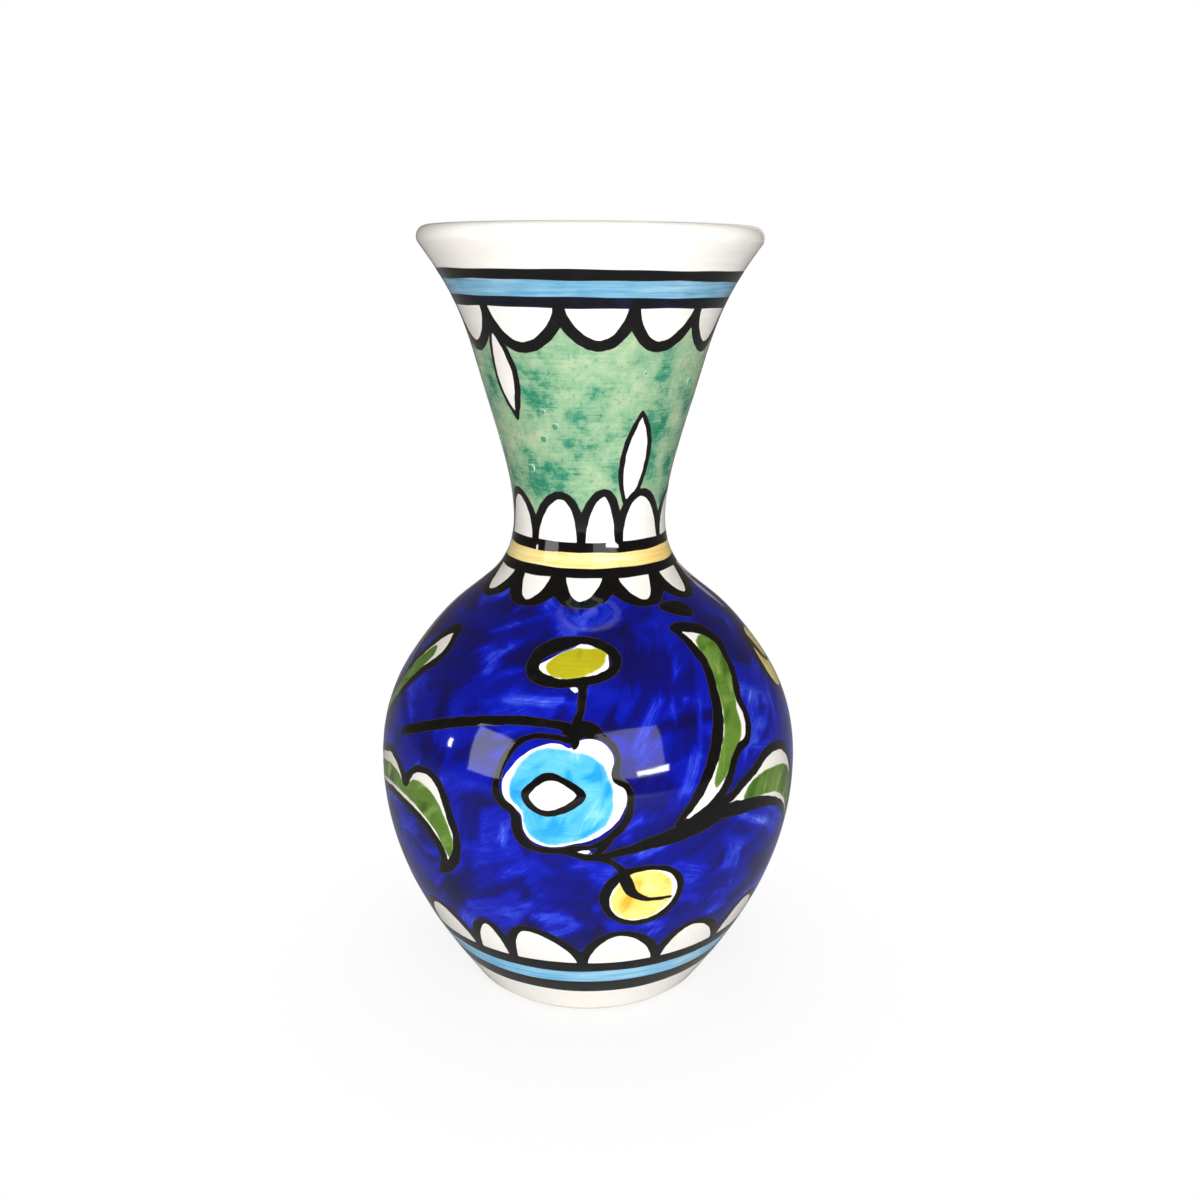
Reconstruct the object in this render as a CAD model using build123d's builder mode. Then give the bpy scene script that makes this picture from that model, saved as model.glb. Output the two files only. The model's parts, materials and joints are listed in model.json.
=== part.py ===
"""A hand-painted talavera vase, in millimetres, +Z up, with the origin at the centre of its foot.

The vase is one thrown clay body.  A white glaze coats it outside and lines it inside, and the
painting is a thin layer of coloured enamels on that glaze.  Every layer is a solid of its own:
neighbouring layers share a surface, and neighbouring enamels meet side by side.

Places on the painting are written as (azimuth, height): azimuth is in degrees round the vase,
0 at the front (-Y) and positive towards +X, and height is in millimetres above the foot.
"""

import os
from math import cos, hypot, pi, radians, sin

from build123d import *

# ---- Driving dimensions ------------------------------------------------------------------
FOOT_RADIUS = 31.5
BELLY_RADIUS = 56.0
BELLY_HEIGHT = 61.0
WAIST_RADIUS = 19.9
WAIST_HEIGHT = 126.5
LIP_HEIGHT = 200.0  # the crest of the lip, which is the height of the vase
LIP_ROUND = 2.75  # radius of the rounded lip, glaze included
LIP_CENTRE_RADIUS = 40.4  # from the axis to the middle of the lip
LIP_LEAN = 36.0  # degrees that the flare leans outwards where it meets the lip

WALL = 2 * LIP_ROUND  # whole wall, both glazes included
FLOOR = 8.0  # height of the inside floor at the centre
FLOOR_CORNER = 5.0  # height over which the floor curves up into the inside wall
FOOT_RING = 6.0  # width of the ring that the vase stands on
FOOT_WELL = 2.5  # depth of the hollow turned inside that ring
FOOT_EDGE = 1.0  # softened edges of the foot ring
BARE_FOOT = 1.4  # height up to which the glaze is wiped off the foot
GLAZE = 0.35
ENAMEL = 0.20
PROFILE_STEPS = 44  # stations taken along the profile for each parallel curve
REACH = 2 * BELLY_RADIUS  # a length that passes right through the painted wall

# The outside of the glazed wall, as (radius, height), from the foot to the start of the lip.
LIP_CENTRE_HEIGHT = LIP_HEIGHT - LIP_ROUND
FLARE_OUT = sin(radians(LIP_LEAN))
FLARE_UP = cos(radians(LIP_LEAN))
# The first point lies below the foot, so that every parallel curve can be cut at its own height.
OUTER_STATIONS = [
    (FOOT_RADIUS - 2.1, -3.0),
    (FOOT_RADIUS, 0.0),
    (44.5, 20.0),
    (53.0, 40.0),
    (BELLY_RADIUS, BELLY_HEIGHT),
    (50.9, 84.0),
    (42.9, 96.0),
    (35.4, 104.0),
    (25.8, 112.0),
    (20.9, 120.0),
    (WAIST_RADIUS, WAIST_HEIGHT),
    (22.4, 144.0),
    (28.1, 164.0),
    (33.3, 180.0),
    (LIP_CENTRE_RADIUS + LIP_ROUND * FLARE_UP, LIP_CENTRE_HEIGHT - LIP_ROUND * FLARE_OUT),
]

# ---- The painted bands, as (lowest height, highest height) --------------------------------
NECK_BLACK_UPPER = (187.2, 189.6)
NECK_SKY = (183.4, 187.2)
NECK_BLACK_LOWER = (181.0, 183.4)
WAIST_BLACK_UPPER = (121.2, 123.9)
WAIST_YELLOW = (117.6, 121.2)
WAIST_BLACK_LOWER = (115.3, 117.6)
FOOT_BLACK_UPPER = (18.8, 22.2)
FOOT_SKY = (14.4, 18.8)
FOOT_BLACK_LOWER = (10.0, 14.4)

# ---- The scallop rows: azimuths where neighbouring scallops meet, and how far they reach ----
NECK_HANGING = (-80, -48, -14, 17.5, 50, 81, 114, 147, 180, 214, 246)
NECK_HANGING_DEPTH = -9.0
NECK_STANDING = (-78, -43, -5, 22.5, 63, 99, 135, 171, 208, 245)
NECK_STANDING_DEPTH = 12.0
SHOULDER_HANGING = (-84, -52, -20.5, 12.5, 45, 77, 109, 142, 175, 208, 241)
SHOULDER_DEPTH = -5.6
FOOT_STANDING = (-62, -39, -25, -2, 21.5, 44, 66, 89, 112, 135, 158, 181, 204, 227, 250, 274)
FOOT_DEPTH = 11.2
SCALLOP_LINE = 1.9  # width of the black line round a scallop
SCALLOP_POINTS = 9
SCALLOP_FULLNESS = 0.7  # below 1 makes the scallops squarer than a sine wave

# ---- The brush strokes of the belly, each point as (azimuth, height, width of the line) -----
STEM_LINES = [
    [(-56, 78.3, 2.8), (-46, 81.5, 2.3), (-35, 84.8, 2.1), (-22, 86.9, 1.9), (-10, 86.8, 1.8),
     (-3, 85.9, 2.4)],
    [(-2, 95.0, 2.0), (-1.5, 92.0, 1.6), (-2.5, 89.0, 1.8), (-4.5, 85.5, 2.6)],
    [(-8, 57.2, 1.6), (-4, 56.6, 1.8), (1, 55.2, 1.7), (5.5, 54.0, 1.5), (8.2, 52.6, 1.6)],
    [(1, 56.3, 1.2), (8, 57.0, 1.8), (15, 58.3, 2.6), (22, 60.0, 3.0), (28, 62.0, 2.6)],
]  # fmt: skip
FLOWER_LINE = [
    (-3, 84.6, 2.6), (2, 85.0, 2.0), (5.5, 82.5, 1.4), (6.6, 79.5, 1.2), (6.4, 76.6, 1.4),
    (8.7, 74.6, 1.6), (10.3, 71, 1.6), (9.6, 66.5, 1.6), (7, 62.3, 1.5), (3, 59.3, 1.4),
    (-1.5, 57.6, 1.4), (-7, 57.0, 1.7), (-13, 58.0, 2.2), (-17.4, 60.5, 2.2), (-19, 64, 2.0),
    (-21, 67, 1.8), (-23.3, 70, 1.6), (-22.6, 74, 1.2), (-20, 78.3, 1.4), (-16.5, 81.5, 1.4),
    (-12, 83.6, 1.7), (-7.5, 83.0, 1.8),
]  # fmt: skip
FLOWER_PETALS = [
    (-19, 70), (-17.3, 75.5), (-13.5, 79), (-9, 81), (-4.5, 80.8), (0.5, 79.3), (4, 76.5),
    (6, 72.5), (6.2, 68), (4.8, 63.8), (1, 60.2), (-4, 58.9), (-10, 59.3), (-15, 61.3),
    (-17, 64.5), (-18.6, 67.5),
]  # fmt: skip
FLOWER_EYE_LINE = [
    (-16, 71.2, 1.5), (-13.5, 74, 1.6), (-9.5, 75.6, 1.5), (-5, 74, 1.4), (-2.2, 71.6, 1.6),
    (-5, 69, 1.5), (-9.5, 67, 1.4), (-13.5, 68, 1.5),
]  # fmt: skip
OLIVE_BUD_LINE = [
    (-19, 98, 2.8), (-15, 101.2, 3.0), (-8, 103, 2.6), (0, 103.4, 2.2), (6, 101.8, 2.2),
    (8.4, 99, 2.4), (5, 96.4, 2.4), (-2, 95.2, 2.4), (-9, 95.2, 2.6), (-15.5, 96.2, 2.8),
]  # fmt: skip
OLIVE_BUD_FILL = [
    (-14.5, 98.2), (-10.5, 96.9), (-4, 96.5), (2, 97.2), (5.6, 99.2), (3, 101.6), (-3, 101.5),
    (-9, 100.2),
]  # fmt: skip
YELLOW_BUD_LINE = [
    (4.6, 44, 2.0), (6.2, 48.5, 2.4), (9.5, 51.6, 1.6), (15, 52.0, 1.2), (20.5, 50.8, 1.4),
    (23.7, 47, 1.8), (23.4, 42.5, 1.5), (20.8, 38.4, 1.5), (16, 36.2, 1.2), (10.5, 36.6, 1.2),
    (6.2, 39.6, 1.4),
]  # fmt: skip
YELLOW_BUD_FILL = [
    (6.4, 43.5), (8, 47), (10.8, 50.4), (14, 50.9), (18.5, 50.2), (21.3, 48), (21.4, 45.5),
    (20, 42.6), (18, 40), (15, 38), (11, 37.9), (7.8, 40),
]  # fmt: skip
YELLOW_BUD_CREASE = [
    (9.8, 51, 1.6), (10.3, 48, 2.2), (12.2, 45, 1.5), (16, 43.2, 1.0), (21.3, 42.8, 0.8),
]  # fmt: skip

# Each leaf is a closed line and a patch of green that lies inside it.
UPPER_LEAF_LINE = [
    (22, 61.6, 2.2), (28, 67.5, 1.4), (33, 73.5, 2.2), (37, 81, 2.5), (39.8, 90, 2.6),
    (40.4, 97, 2.4), (40.5, 102.2, 2.2), (45, 103.9, 1.9), (50, 102.8, 2.2), (52.4, 99.6, 2.6),
    (51.4, 95.5, 2.3), (49.2, 91.5, 1.9), (47.5, 88.3, 1.7), (49.2, 85.3, 1.8),
    (49.2, 81.6, 1.9), (46.8, 78.6, 1.8), (43.2, 76, 1.8), (41, 72.5, 2.0), (37, 68.6, 2.2),
    (30, 64.6, 2.2),
]  # fmt: skip
UPPER_LEAF_GREEN = [
    (44.4, 100.8), (48.4, 101.6), (50.6, 99), (48.8, 94.5), (46.9, 89.5), (45.6, 84.5),
    (44, 80), (40, 75.6), (35.6, 71.4), (33.2, 70), (36, 74.2), (39.6, 80), (41.8, 86),
    (42.8, 92), (43.2, 97),
]  # fmt: skip
LOWER_LEAF_LINE = [
    (30, 63.4, 2.4), (37, 67.8, 1.8), (44, 71.6, 1.7), (51, 74.2, 1.6), (58, 74.6, 1.6),
    (65, 72.8, 1.5), (70.5, 69, 1.5), (73.6, 63, 1.5), (74.6, 56, 1.5), (74, 49.5, 1.8),
    (70, 49.8, 1.7), (65, 53, 1.8), (59, 57.3, 1.9), (53, 60.8, 2.0), (46, 63.0, 2.0),
    (38, 63.2, 2.0),
]  # fmt: skip
LOWER_LEAF_GREEN = [
    (43.5, 66), (47, 68.2), (53, 69.4), (60, 68.8), (66, 66.2), (70.4, 61.4), (72, 55.8),
    (71.4, 52.4), (67, 54.6), (61.5, 58.6), (56.5, 61.8), (50, 64.4),
]  # fmt: skip

# The two leaves on the left of the front are drawn wider and lower than their sisters.
LEFT_UPPER_LEAF_LINE = [
    (-95, 63, 2.0), (-88, 71, 2.0), (-80, 80.5, 1.9), (-73, 89.5, 1.9), (-66.5, 97, 2.0),
    (-61, 101.1, 2.2), (-57.2, 100.4, 2.0), (-56.6, 97.2, 1.8), (-59.5, 94.4, 1.6),
    (-64.5, 91, 1.7), (-70.5, 86, 1.8), (-77.5, 78, 1.8), (-85, 68.5, 1.8), (-91, 62.4, 1.8),
]  # fmt: skip
LEFT_UPPER_LEAF_GREEN = [
    (-86, 71.8), (-79.5, 79.6), (-73, 87.8), (-67, 94.2), (-63.8, 95.6), (-64.4, 93.4),
    (-69.4, 88.8), (-75.6, 82), (-82.6, 73.6),
]  # fmt: skip
LEFT_LOWER_LEAF_LINE = [
    (-97, 58.6, 2.2), (-89, 61.6, 2.0), (-82, 65, 1.8), (-75, 68.4, 1.6), (-67, 70.2, 1.5),
    (-61, 69.2, 1.5), (-57, 67.2, 1.5), (-52.5, 69.4, 1.5), (-46, 70.6, 1.5), (-41, 68.8, 1.8),
    (-38, 65, 1.8), (-36.2, 60, 1.8), (-35, 55, 2.0), (-36, 50, 2.2), (-39.6, 46.6, 2.2),
    (-41, 50.6, 2.0), (-44.5, 54.4, 1.9), (-50, 57.4, 1.9), (-58, 58.8, 1.8), (-68, 58.8, 1.9),
    (-78, 58.0, 1.8), (-88, 57.2, 1.8),
]  # fmt: skip
LEFT_LOWER_LEAF_GREEN = [
    (-88, 60), (-80, 63.2), (-73, 65.8), (-65, 67.2), (-59.5, 65.6), (-55.5, 64.2),
    (-50.5, 66.6), (-45.6, 66), (-41.4, 62.6), (-38.8, 58.2), (-38, 53.6), (-39.6, 52.8),
    (-43, 56.4), (-49, 59.4), (-57.5, 60.8), (-68, 61), (-79, 60),
]  # fmt: skip

# One spray fills half of the belly, so it is painted twice: each time (turn, rise).
SPRAYS = [(0, 0.0), (180, -0.8)]
# A yellow bud on its own stands between the sprays, high up: each time (turn, rise).
LONE_BUDS = [(69, 46.0), (249, 45.0)]

# ---- The leaves on the neck: one that hangs and one that stands, as closed lines -----------
HANGING_LEAF_LINE = [
    (-47, 175.2, 1.2), (-50.4, 170.5, 1.1), (-51.6, 165, 1.1), (-49, 158.6, 1.0),
    (-44.4, 154.8, 1.2), (-39.6, 158.6, 1.4), (-37.2, 164.6, 1.7), (-39, 170, 1.6),
    (-42.6, 173.6, 1.4),
]  # fmt: skip
STANDING_LEAF_LINE = [
    (30.6, 155.8, 1.2), (26, 151.6, 1.3), (22.2, 147.4, 1.3), (20.6, 142.8, 1.3),
    (22.4, 138.6, 1.2), (27, 134.4, 1.2), (36, 135.2, 1.2), (39.8, 139.6, 1.2),
    (40.2, 146, 1.3), (37.4, 151.4, 1.4),
]  # fmt: skip
HANGING_LEAF_TURNS = (0, 133, 250)
STANDING_LEAF_TURNS = (0, 115, 230)


# ---- Profile curves ------------------------------------------------------------------------
FOOT_SLOPE = (0.56, 0.83)  # direction of the outside just above the foot
LIP_SLOPE = (FLARE_OUT, FLARE_UP)  # direction of the outside where it meets the lip
OUTER = Spline(*OUTER_STATIONS, tangents=[FOOT_SLOPE, LIP_SLOPE])
OUTER_TURN = 90 + LIP_LEAN  # where the lip meets the outside of the flare, from straight up
INNER_TURN = LIP_LEAN - 90  # and where it meets the inside


def parallel(depth):
    """The outside profile moved towards the clay by depth, square to itself."""
    moved = []
    for step in range(PROFILE_STEPS + 1):
        along = OUTER.tangent_at(step / PROFILE_STEPS)
        inwards = Vector(-along.Y, along.X)
        moved.append(OUTER.position_at(step / PROFILE_STEPS) + inwards * depth)
    return Spline(*moved, tangents=[FOOT_SLOPE, LIP_SLOPE])


def share_below(curve, height):
    """The share of a rising curve that lies below this height."""
    low, high = 0.0, 1.0
    for _ in range(40):
        middle = (low + high) / 2
        if curve.position_at(middle).Y < height:
            low = middle
        else:
            high = middle
    return low


def above(curve, height):
    """The part of a rising curve from this height up to the lip."""
    return curve.trim(share_below(curve, height), 1.0)


def between(curve, lowest, highest):
    """The part of a rising curve between two heights."""
    return curve.trim(share_below(curve, lowest), share_below(curve, highest))


def lip_point(radius, turned):
    """A point of a circle round the middle of the lip, turned outwards from straight up."""
    across = radius * sin(radians(turned))
    upwards = radius * cos(radians(turned))
    return (LIP_CENTRE_RADIUS + across, LIP_CENTRE_HEIGHT + upwards)


def lip_arc(radius, start, end):
    """An arc of the rounded lip between two turns."""
    middle = lip_point(radius, (start + end) / 2)
    ends = (lip_point(radius, start), lip_point(radius, end))
    return ThreePointArc(ends[0], middle, ends[1], mode=Mode.PRIVATE)


def inside_lines(curve, floor):
    """The inside from the lip down to the axis: the wall, a curved corner and the floor."""
    wall = above(curve, floor + FLOOR_CORNER)
    lean = wall % 0
    corner = (wall @ 0).X - FLOOR_CORNER * lean.Y / (1 - lean.X)
    flat = Line((0, floor), (corner, floor), mode=Mode.PRIVATE)
    bend = TangentArc(flat @ 1, wall @ 0, tangent=flat % 1, mode=Mode.PRIVATE)
    return [wall, bend, flat]


def ring_lines(lowest, highest):
    """The outline of the enamel layer between two heights, seen in section."""
    under = between(OUTER, lowest, highest)
    over = between(ENAMEL_OUTER, lowest, highest)
    bottom = Line(under @ 0, over @ 0, mode=Mode.PRIVATE)
    top = Line(under @ 1, over @ 1, mode=Mode.PRIVATE)
    return [under, over, bottom, top]


CLAY_OUTER = parallel(GLAZE)
CLAY_INNER = parallel(WALL - GLAZE)
GLAZE_INNER = parallel(WALL)
ENAMEL_OUTER = parallel(-ENAMEL)


# ---- Brush work ----------------------------------------------------------------------------
def facing(azimuth):
    """An upright plane through the axis that faces outwards at this azimuth."""
    angle = radians(azimuth)
    across = (cos(angle), sin(angle), 0)
    outwards = (sin(angle), -cos(angle), 0)
    return Plane(origin=(0, 0, 0), x_dir=across, z_dir=outwards)


def flat_point(place, centre):
    """Where a place on the vase lies when it is seen square-on from this azimuth."""
    radius = OUTER.position_at(share_below(OUTER, place[1])).X
    return (radius * sin(radians(place[0] - centre)), place[1])


def moved(places, turn, rise):
    """The same places, turned round the vase and raised."""
    return [(place[0] + turn, place[1] + rise, *place[2:]) for place in places]


def middle_azimuth(places):
    """The azimuth half way across these places."""
    azimuths = [place[0] for place in places]
    return (min(azimuths) + max(azimuths)) / 2


def line_edges(places, centre, closed):
    """The two edges of a brush line, each a list of flat points beside the middle of the line."""
    middle = [flat_point(place, centre) for place in places]
    count = len(middle)
    left, right = [], []
    for index, (x, y) in enumerate(middle):
        before = middle[(index - 1) % count] if closed else middle[max(index - 1, 0)]
        after = middle[(index + 1) % count] if closed else middle[min(index + 1, count - 1)]
        length = hypot(after[0] - before[0], after[1] - before[1])
        half = places[index][2] / 2
        across = (
            -(after[1] - before[1]) / length * half,
            (after[0] - before[0]) / length * half,
        )
        left.append((x + across[0], y + across[1]))
        right.append((x - across[0], y - across[1]))
    return left, right


def cutter(face, centre):
    """A flat shape drawn outwards from the axis, through the painted wall."""
    plane = facing(centre)
    return extrude(plane * face, amount=REACH, dir=plane.z_dir)


def patch(places):
    """A cutter for a filled patch of colour."""
    centre = middle_azimuth(places)
    edge = Spline(*[flat_point(place, centre) for place in places], periodic=True)
    return cutter(make_face(edge), centre)


def closed_line(places):
    """Two cutters for a closed brush line: the line, and all that lies within its outer edge."""
    centre = middle_azimuth(places)
    left, right = line_edges(places, centre, closed=True)
    one = make_face(Spline(*left, periodic=True))
    two = make_face(Spline(*right, periodic=True))
    inner, outer = sorted([one, two], key=lambda face: face.area)
    return cutter(outer - inner, centre), cutter(outer, centre)


def open_line(places):
    """A cutter for a brush line with two ends."""
    centre = middle_azimuth(places)
    left, right = line_edges(places, centre, closed=False)
    edges = [Spline(*left), Spline(*right), Line(left[0], right[0]), Line(left[-1], right[-1])]
    return cutter(make_face(edges), centre)


def scallop(start, end, base, depth):
    """Two cutters for one scallop: its line, and all that lies within the line's outer edge."""
    outside = base - (2.0 if depth > 0 else -2.0)  # the line runs on under the band
    places = [(start, outside, SCALLOP_LINE)]
    for step in range(SCALLOP_POINTS):
        share = step / (SCALLOP_POINTS - 1)
        reach = depth * sin(pi * share) ** SCALLOP_FULLNESS if 0 < share < 1 else 0.0
        places.append((start + (end - start) * share, base + reach, SCALLOP_LINE))
    places.append((end, outside, SCALLOP_LINE))
    centre = middle_azimuth(places)
    left, right = line_edges(places, centre, closed=False)
    far, near = (left, right) if depth > 0 else (right, left)
    far_edge = Spline(*far)
    near_edge = Spline(*near)
    caps = [Line(far[0], near[0]), Line(far[-1], near[-1])]
    line = make_face([far_edge, near_edge, *caps])
    whole = make_face([far_edge, Line(far[0], far[-1])])
    return cutter(line, centre), cutter(whole, centre)


def scallop_row(meetings, base, depth):
    """The cutters of a whole row: one list of lines and one list of whole scallops."""
    following = [*meetings[1:], meetings[0] + 360]
    pairs = [scallop(start, end, base, depth) for start, end in zip(meetings, following)]
    return [pair[0] for pair in pairs], [pair[1] for pair in pairs]


def enamel_ring(lowest, highest):
    """The enamel layer between two heights, all the way round."""
    section = make_face(ring_lines(lowest, highest))
    return revolve(Plane.XZ * section, axis=Axis.Z)


def sprayed(places):
    """The same places in every spray."""
    return [moved(places, turn, rise) for turn, rise in SPRAYS]


NECK_LAYER = enamel_ring(WAIST_BLACK_UPPER[1], NECK_BLACK_LOWER[0])
BELLY_LAYER = enamel_ring(FOOT_BLACK_UPPER[1], WAIST_BLACK_LOWER[0])

neck_hanging = scallop_row(NECK_HANGING, NECK_BLACK_LOWER[0], NECK_HANGING_DEPTH)
neck_standing = scallop_row(NECK_STANDING, WAIST_BLACK_UPPER[1], NECK_STANDING_DEPTH)
shoulder_hanging = scallop_row(SHOULDER_HANGING, WAIST_BLACK_LOWER[0], SHOULDER_DEPTH)
foot_standing = scallop_row(FOOT_STANDING, FOOT_BLACK_UPPER[1], FOOT_DEPTH)

hanging_leaves = [closed_line(moved(HANGING_LEAF_LINE, turn, 0)) for turn in HANGING_LEAF_TURNS]
standing_leaves = [closed_line(moved(STANDING_LEAF_LINE, turn, 0)) for turn in STANDING_LEAF_TURNS]
neck_leaves = hanging_leaves + standing_leaves

stems = [open_line(places) for line in STEM_LINES for places in sprayed(line)]
flowers = [closed_line(places) for places in sprayed(FLOWER_LINE)]
eye_lines = [closed_line(places) for places in sprayed(FLOWER_EYE_LINE)]
flower_fills = [patch(places) for places in sprayed(FLOWER_PETALS)]
olive_buds = [closed_line(places) for places in sprayed(OLIVE_BUD_LINE)]
olive_fills = [patch(places) for places in sprayed(OLIVE_BUD_FILL)]

yellow_places = SPRAYS + LONE_BUDS
yellow_buds = [closed_line(moved(YELLOW_BUD_LINE, *place)) for place in yellow_places]
yellow_fills = [patch(moved(YELLOW_BUD_FILL, *place)) for place in yellow_places]
yellow_creases = [open_line(moved(YELLOW_BUD_CREASE, *place)) for place in yellow_places]

LEAF_LINES = [UPPER_LEAF_LINE, LOWER_LEAF_LINE, LEFT_UPPER_LEAF_LINE, LEFT_LOWER_LEAF_LINE]
LEAF_GREENS = [UPPER_LEAF_GREEN, LOWER_LEAF_GREEN, LEFT_UPPER_LEAF_GREEN, LEFT_LOWER_LEAF_GREEN]
leaves = [closed_line(places) for line in LEAF_LINES for places in sprayed(line)]
leaf_fills = [patch(places) for green in LEAF_GREENS for places in sprayed(green)]

motifs = [whole for _, whole in flowers + olive_buds + yellow_buds + leaves]

os.makedirs("parts", exist_ok=True)


# ---- The clay ------------------------------------------------------------------------------
# Pale buff earthenware, thrown on the wheel: a wide belly, a narrow waist, a flared neck and a round lip.
clay_side = above(CLAY_OUTER, 0.0)
foot = clay_side @ 0
with BuildPart() as clay_body:
    with BuildSketch(Plane.XZ):
        with BuildLine():
            add(clay_side)
            add(lip_arc(LIP_ROUND - GLAZE, OUTER_TURN, INNER_TURN))
            add(inside_lines(CLAY_INNER, FLOOR - GLAZE))
            Polyline(
                foot,
                (foot.X - FOOT_RING, 0),
                (foot.X - FOOT_RING - FOOT_WELL / 2, FOOT_WELL),
                (0, FOOT_WELL),
                (0, FLOOR - GLAZE),
            )
        make_face()
        # The edges of the ring that the vase stands on are wiped soft with a sponge.
        ring = vertices().filter_by(lambda corner: corner.Y < 0.01)
        fillet(ring, radius=FOOT_EDGE)
    revolve(axis=Axis.Z)
clay_body.part.label = "clay_body"
export_step(clay_body.part, "parts/clay_body.step")

# White glaze on the outside: from just above the foot, where it is wiped off, to the lip.
glaze_face = above(OUTER, BARE_FOOT)
glaze_back = above(CLAY_OUTER, BARE_FOOT)
with BuildPart() as outer_glaze:
    with BuildSketch(Plane.XZ):
        with BuildLine():
            add(glaze_face)
            add(glaze_back)
            Line(glaze_face @ 0, glaze_back @ 0)
            add(lip_arc(LIP_ROUND, OUTER_TURN, 0))
            add(lip_arc(LIP_ROUND - GLAZE, OUTER_TURN, 0))
            Line(lip_point(LIP_ROUND - GLAZE, 0), lip_point(LIP_ROUND, 0))
        make_face()
    revolve(axis=Axis.Z)
outer_glaze.part.label = "outer_glaze"
export_step(outer_glaze.part, "parts/outer_glaze.step")

# White glaze on the inside: from the crest of the lip down the wall and over the floor.
with BuildPart() as inner_glaze:
    with BuildSketch(Plane.XZ):
        with BuildLine():
            add(inside_lines(GLAZE_INNER, FLOOR))
            add(inside_lines(CLAY_INNER, FLOOR - GLAZE))
            Line((0, FLOOR - GLAZE), (0, FLOOR))
            add(lip_arc(LIP_ROUND, INNER_TURN, 0))
            add(lip_arc(LIP_ROUND - GLAZE, INNER_TURN, 0))
            Line(lip_point(LIP_ROUND - GLAZE, 0), lip_point(LIP_ROUND, 0))
        make_face()
    revolve(axis=Axis.Z)
inner_glaze.part.label = "inner_glaze"
export_step(inner_glaze.part, "parts/inner_glaze.step")


# ---- The bands, painted while the vase turns on the wheel ------------------------------------
with BuildPart() as neck_black_upper:
    with BuildSketch(Plane.XZ):
        with BuildLine():
            add(ring_lines(*NECK_BLACK_UPPER))
        make_face()
    revolve(axis=Axis.Z)
neck_black_upper.part.label = "neck_black_upper"
export_step(neck_black_upper.part, "parts/neck_black_upper.step")

with BuildPart() as neck_sky:
    with BuildSketch(Plane.XZ):
        with BuildLine():
            add(ring_lines(*NECK_SKY))
        make_face()
    revolve(axis=Axis.Z)
neck_sky.part.label = "neck_sky"
export_step(neck_sky.part, "parts/neck_sky.step")

with BuildPart() as neck_black_lower:
    with BuildSketch(Plane.XZ):
        with BuildLine():
            add(ring_lines(*NECK_BLACK_LOWER))
        make_face()
    revolve(axis=Axis.Z)
neck_black_lower.part.label = "neck_black_lower"
export_step(neck_black_lower.part, "parts/neck_black_lower.step")

with BuildPart() as waist_black_upper:
    with BuildSketch(Plane.XZ):
        with BuildLine():
            add(ring_lines(*WAIST_BLACK_UPPER))
        make_face()
    revolve(axis=Axis.Z)
waist_black_upper.part.label = "waist_black_upper"
export_step(waist_black_upper.part, "parts/waist_black_upper.step")

with BuildPart() as waist_yellow:
    with BuildSketch(Plane.XZ):
        with BuildLine():
            add(ring_lines(*WAIST_YELLOW))
        make_face()
    revolve(axis=Axis.Z)
waist_yellow.part.label = "waist_yellow"
export_step(waist_yellow.part, "parts/waist_yellow.step")

with BuildPart() as waist_black_lower:
    with BuildSketch(Plane.XZ):
        with BuildLine():
            add(ring_lines(*WAIST_BLACK_LOWER))
        make_face()
    revolve(axis=Axis.Z)
waist_black_lower.part.label = "waist_black_lower"
export_step(waist_black_lower.part, "parts/waist_black_lower.step")

with BuildPart() as foot_black_upper:
    with BuildSketch(Plane.XZ):
        with BuildLine():
            add(ring_lines(*FOOT_BLACK_UPPER))
        make_face()
    revolve(axis=Axis.Z)
foot_black_upper.part.label = "foot_black_upper"
export_step(foot_black_upper.part, "parts/foot_black_upper.step")

with BuildPart() as foot_sky:
    with BuildSketch(Plane.XZ):
        with BuildLine():
            add(ring_lines(*FOOT_SKY))
        make_face()
    revolve(axis=Axis.Z)
foot_sky.part.label = "foot_sky"
export_step(foot_sky.part, "parts/foot_sky.step")

with BuildPart() as foot_black_lower:
    with BuildSketch(Plane.XZ):
        with BuildLine():
            add(ring_lines(*FOOT_BLACK_LOWER))
        make_face()
    revolve(axis=Axis.Z)
foot_black_lower.part.label = "foot_black_lower"
export_step(foot_black_lower.part, "parts/foot_black_lower.step")


# ---- The scallop rows ----------------------------------------------------------------------
# Eleven scallops hang from the lower black band of the neck.
with BuildPart() as neck_hanging_scallops:
    for line in neck_hanging[0]:
        add(NECK_LAYER & line)
neck_hanging_scallops.part.label = "neck_hanging_scallops"
export_step(neck_hanging_scallops.part, "parts/neck_hanging_scallops.step")

# Ten scallops stand on the upper black band of the waist.
with BuildPart() as neck_standing_scallops:
    for line in neck_standing[0]:
        add(NECK_LAYER & line)
neck_standing_scallops.part.label = "neck_standing_scallops"
export_step(neck_standing_scallops.part, "parts/neck_standing_scallops.step")

# Shallow scallops hang from the lower black band of the waist.
with BuildPart() as shoulder_scallops:
    for line in shoulder_hanging[0]:
        add(BELLY_LAYER & line)
shoulder_scallops.part.label = "shoulder_scallops"
export_step(shoulder_scallops.part, "parts/shoulder_scallops.step")

# Small scallops stand on the upper black band of the foot.
with BuildPart() as foot_scallops:
    for line in foot_standing[0]:
        add(BELLY_LAYER & line)
foot_scallops.part.label = "foot_scallops"
export_step(foot_scallops.part, "parts/foot_scallops.step")


# ---- The painting of the neck --------------------------------------------------------------
# Leaves drawn in black, hanging and standing in turn between the scallops.
with BuildPart() as neck_leaf_lines:
    for line, _ in neck_leaves:
        add(NECK_LAYER & line)
    for whole in neck_hanging[1] + neck_standing[1]:
        add(whole, mode=Mode.SUBTRACT)
neck_leaf_lines.part.label = "neck_leaf_lines"
export_step(neck_leaf_lines.part, "parts/neck_leaf_lines.step")

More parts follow.
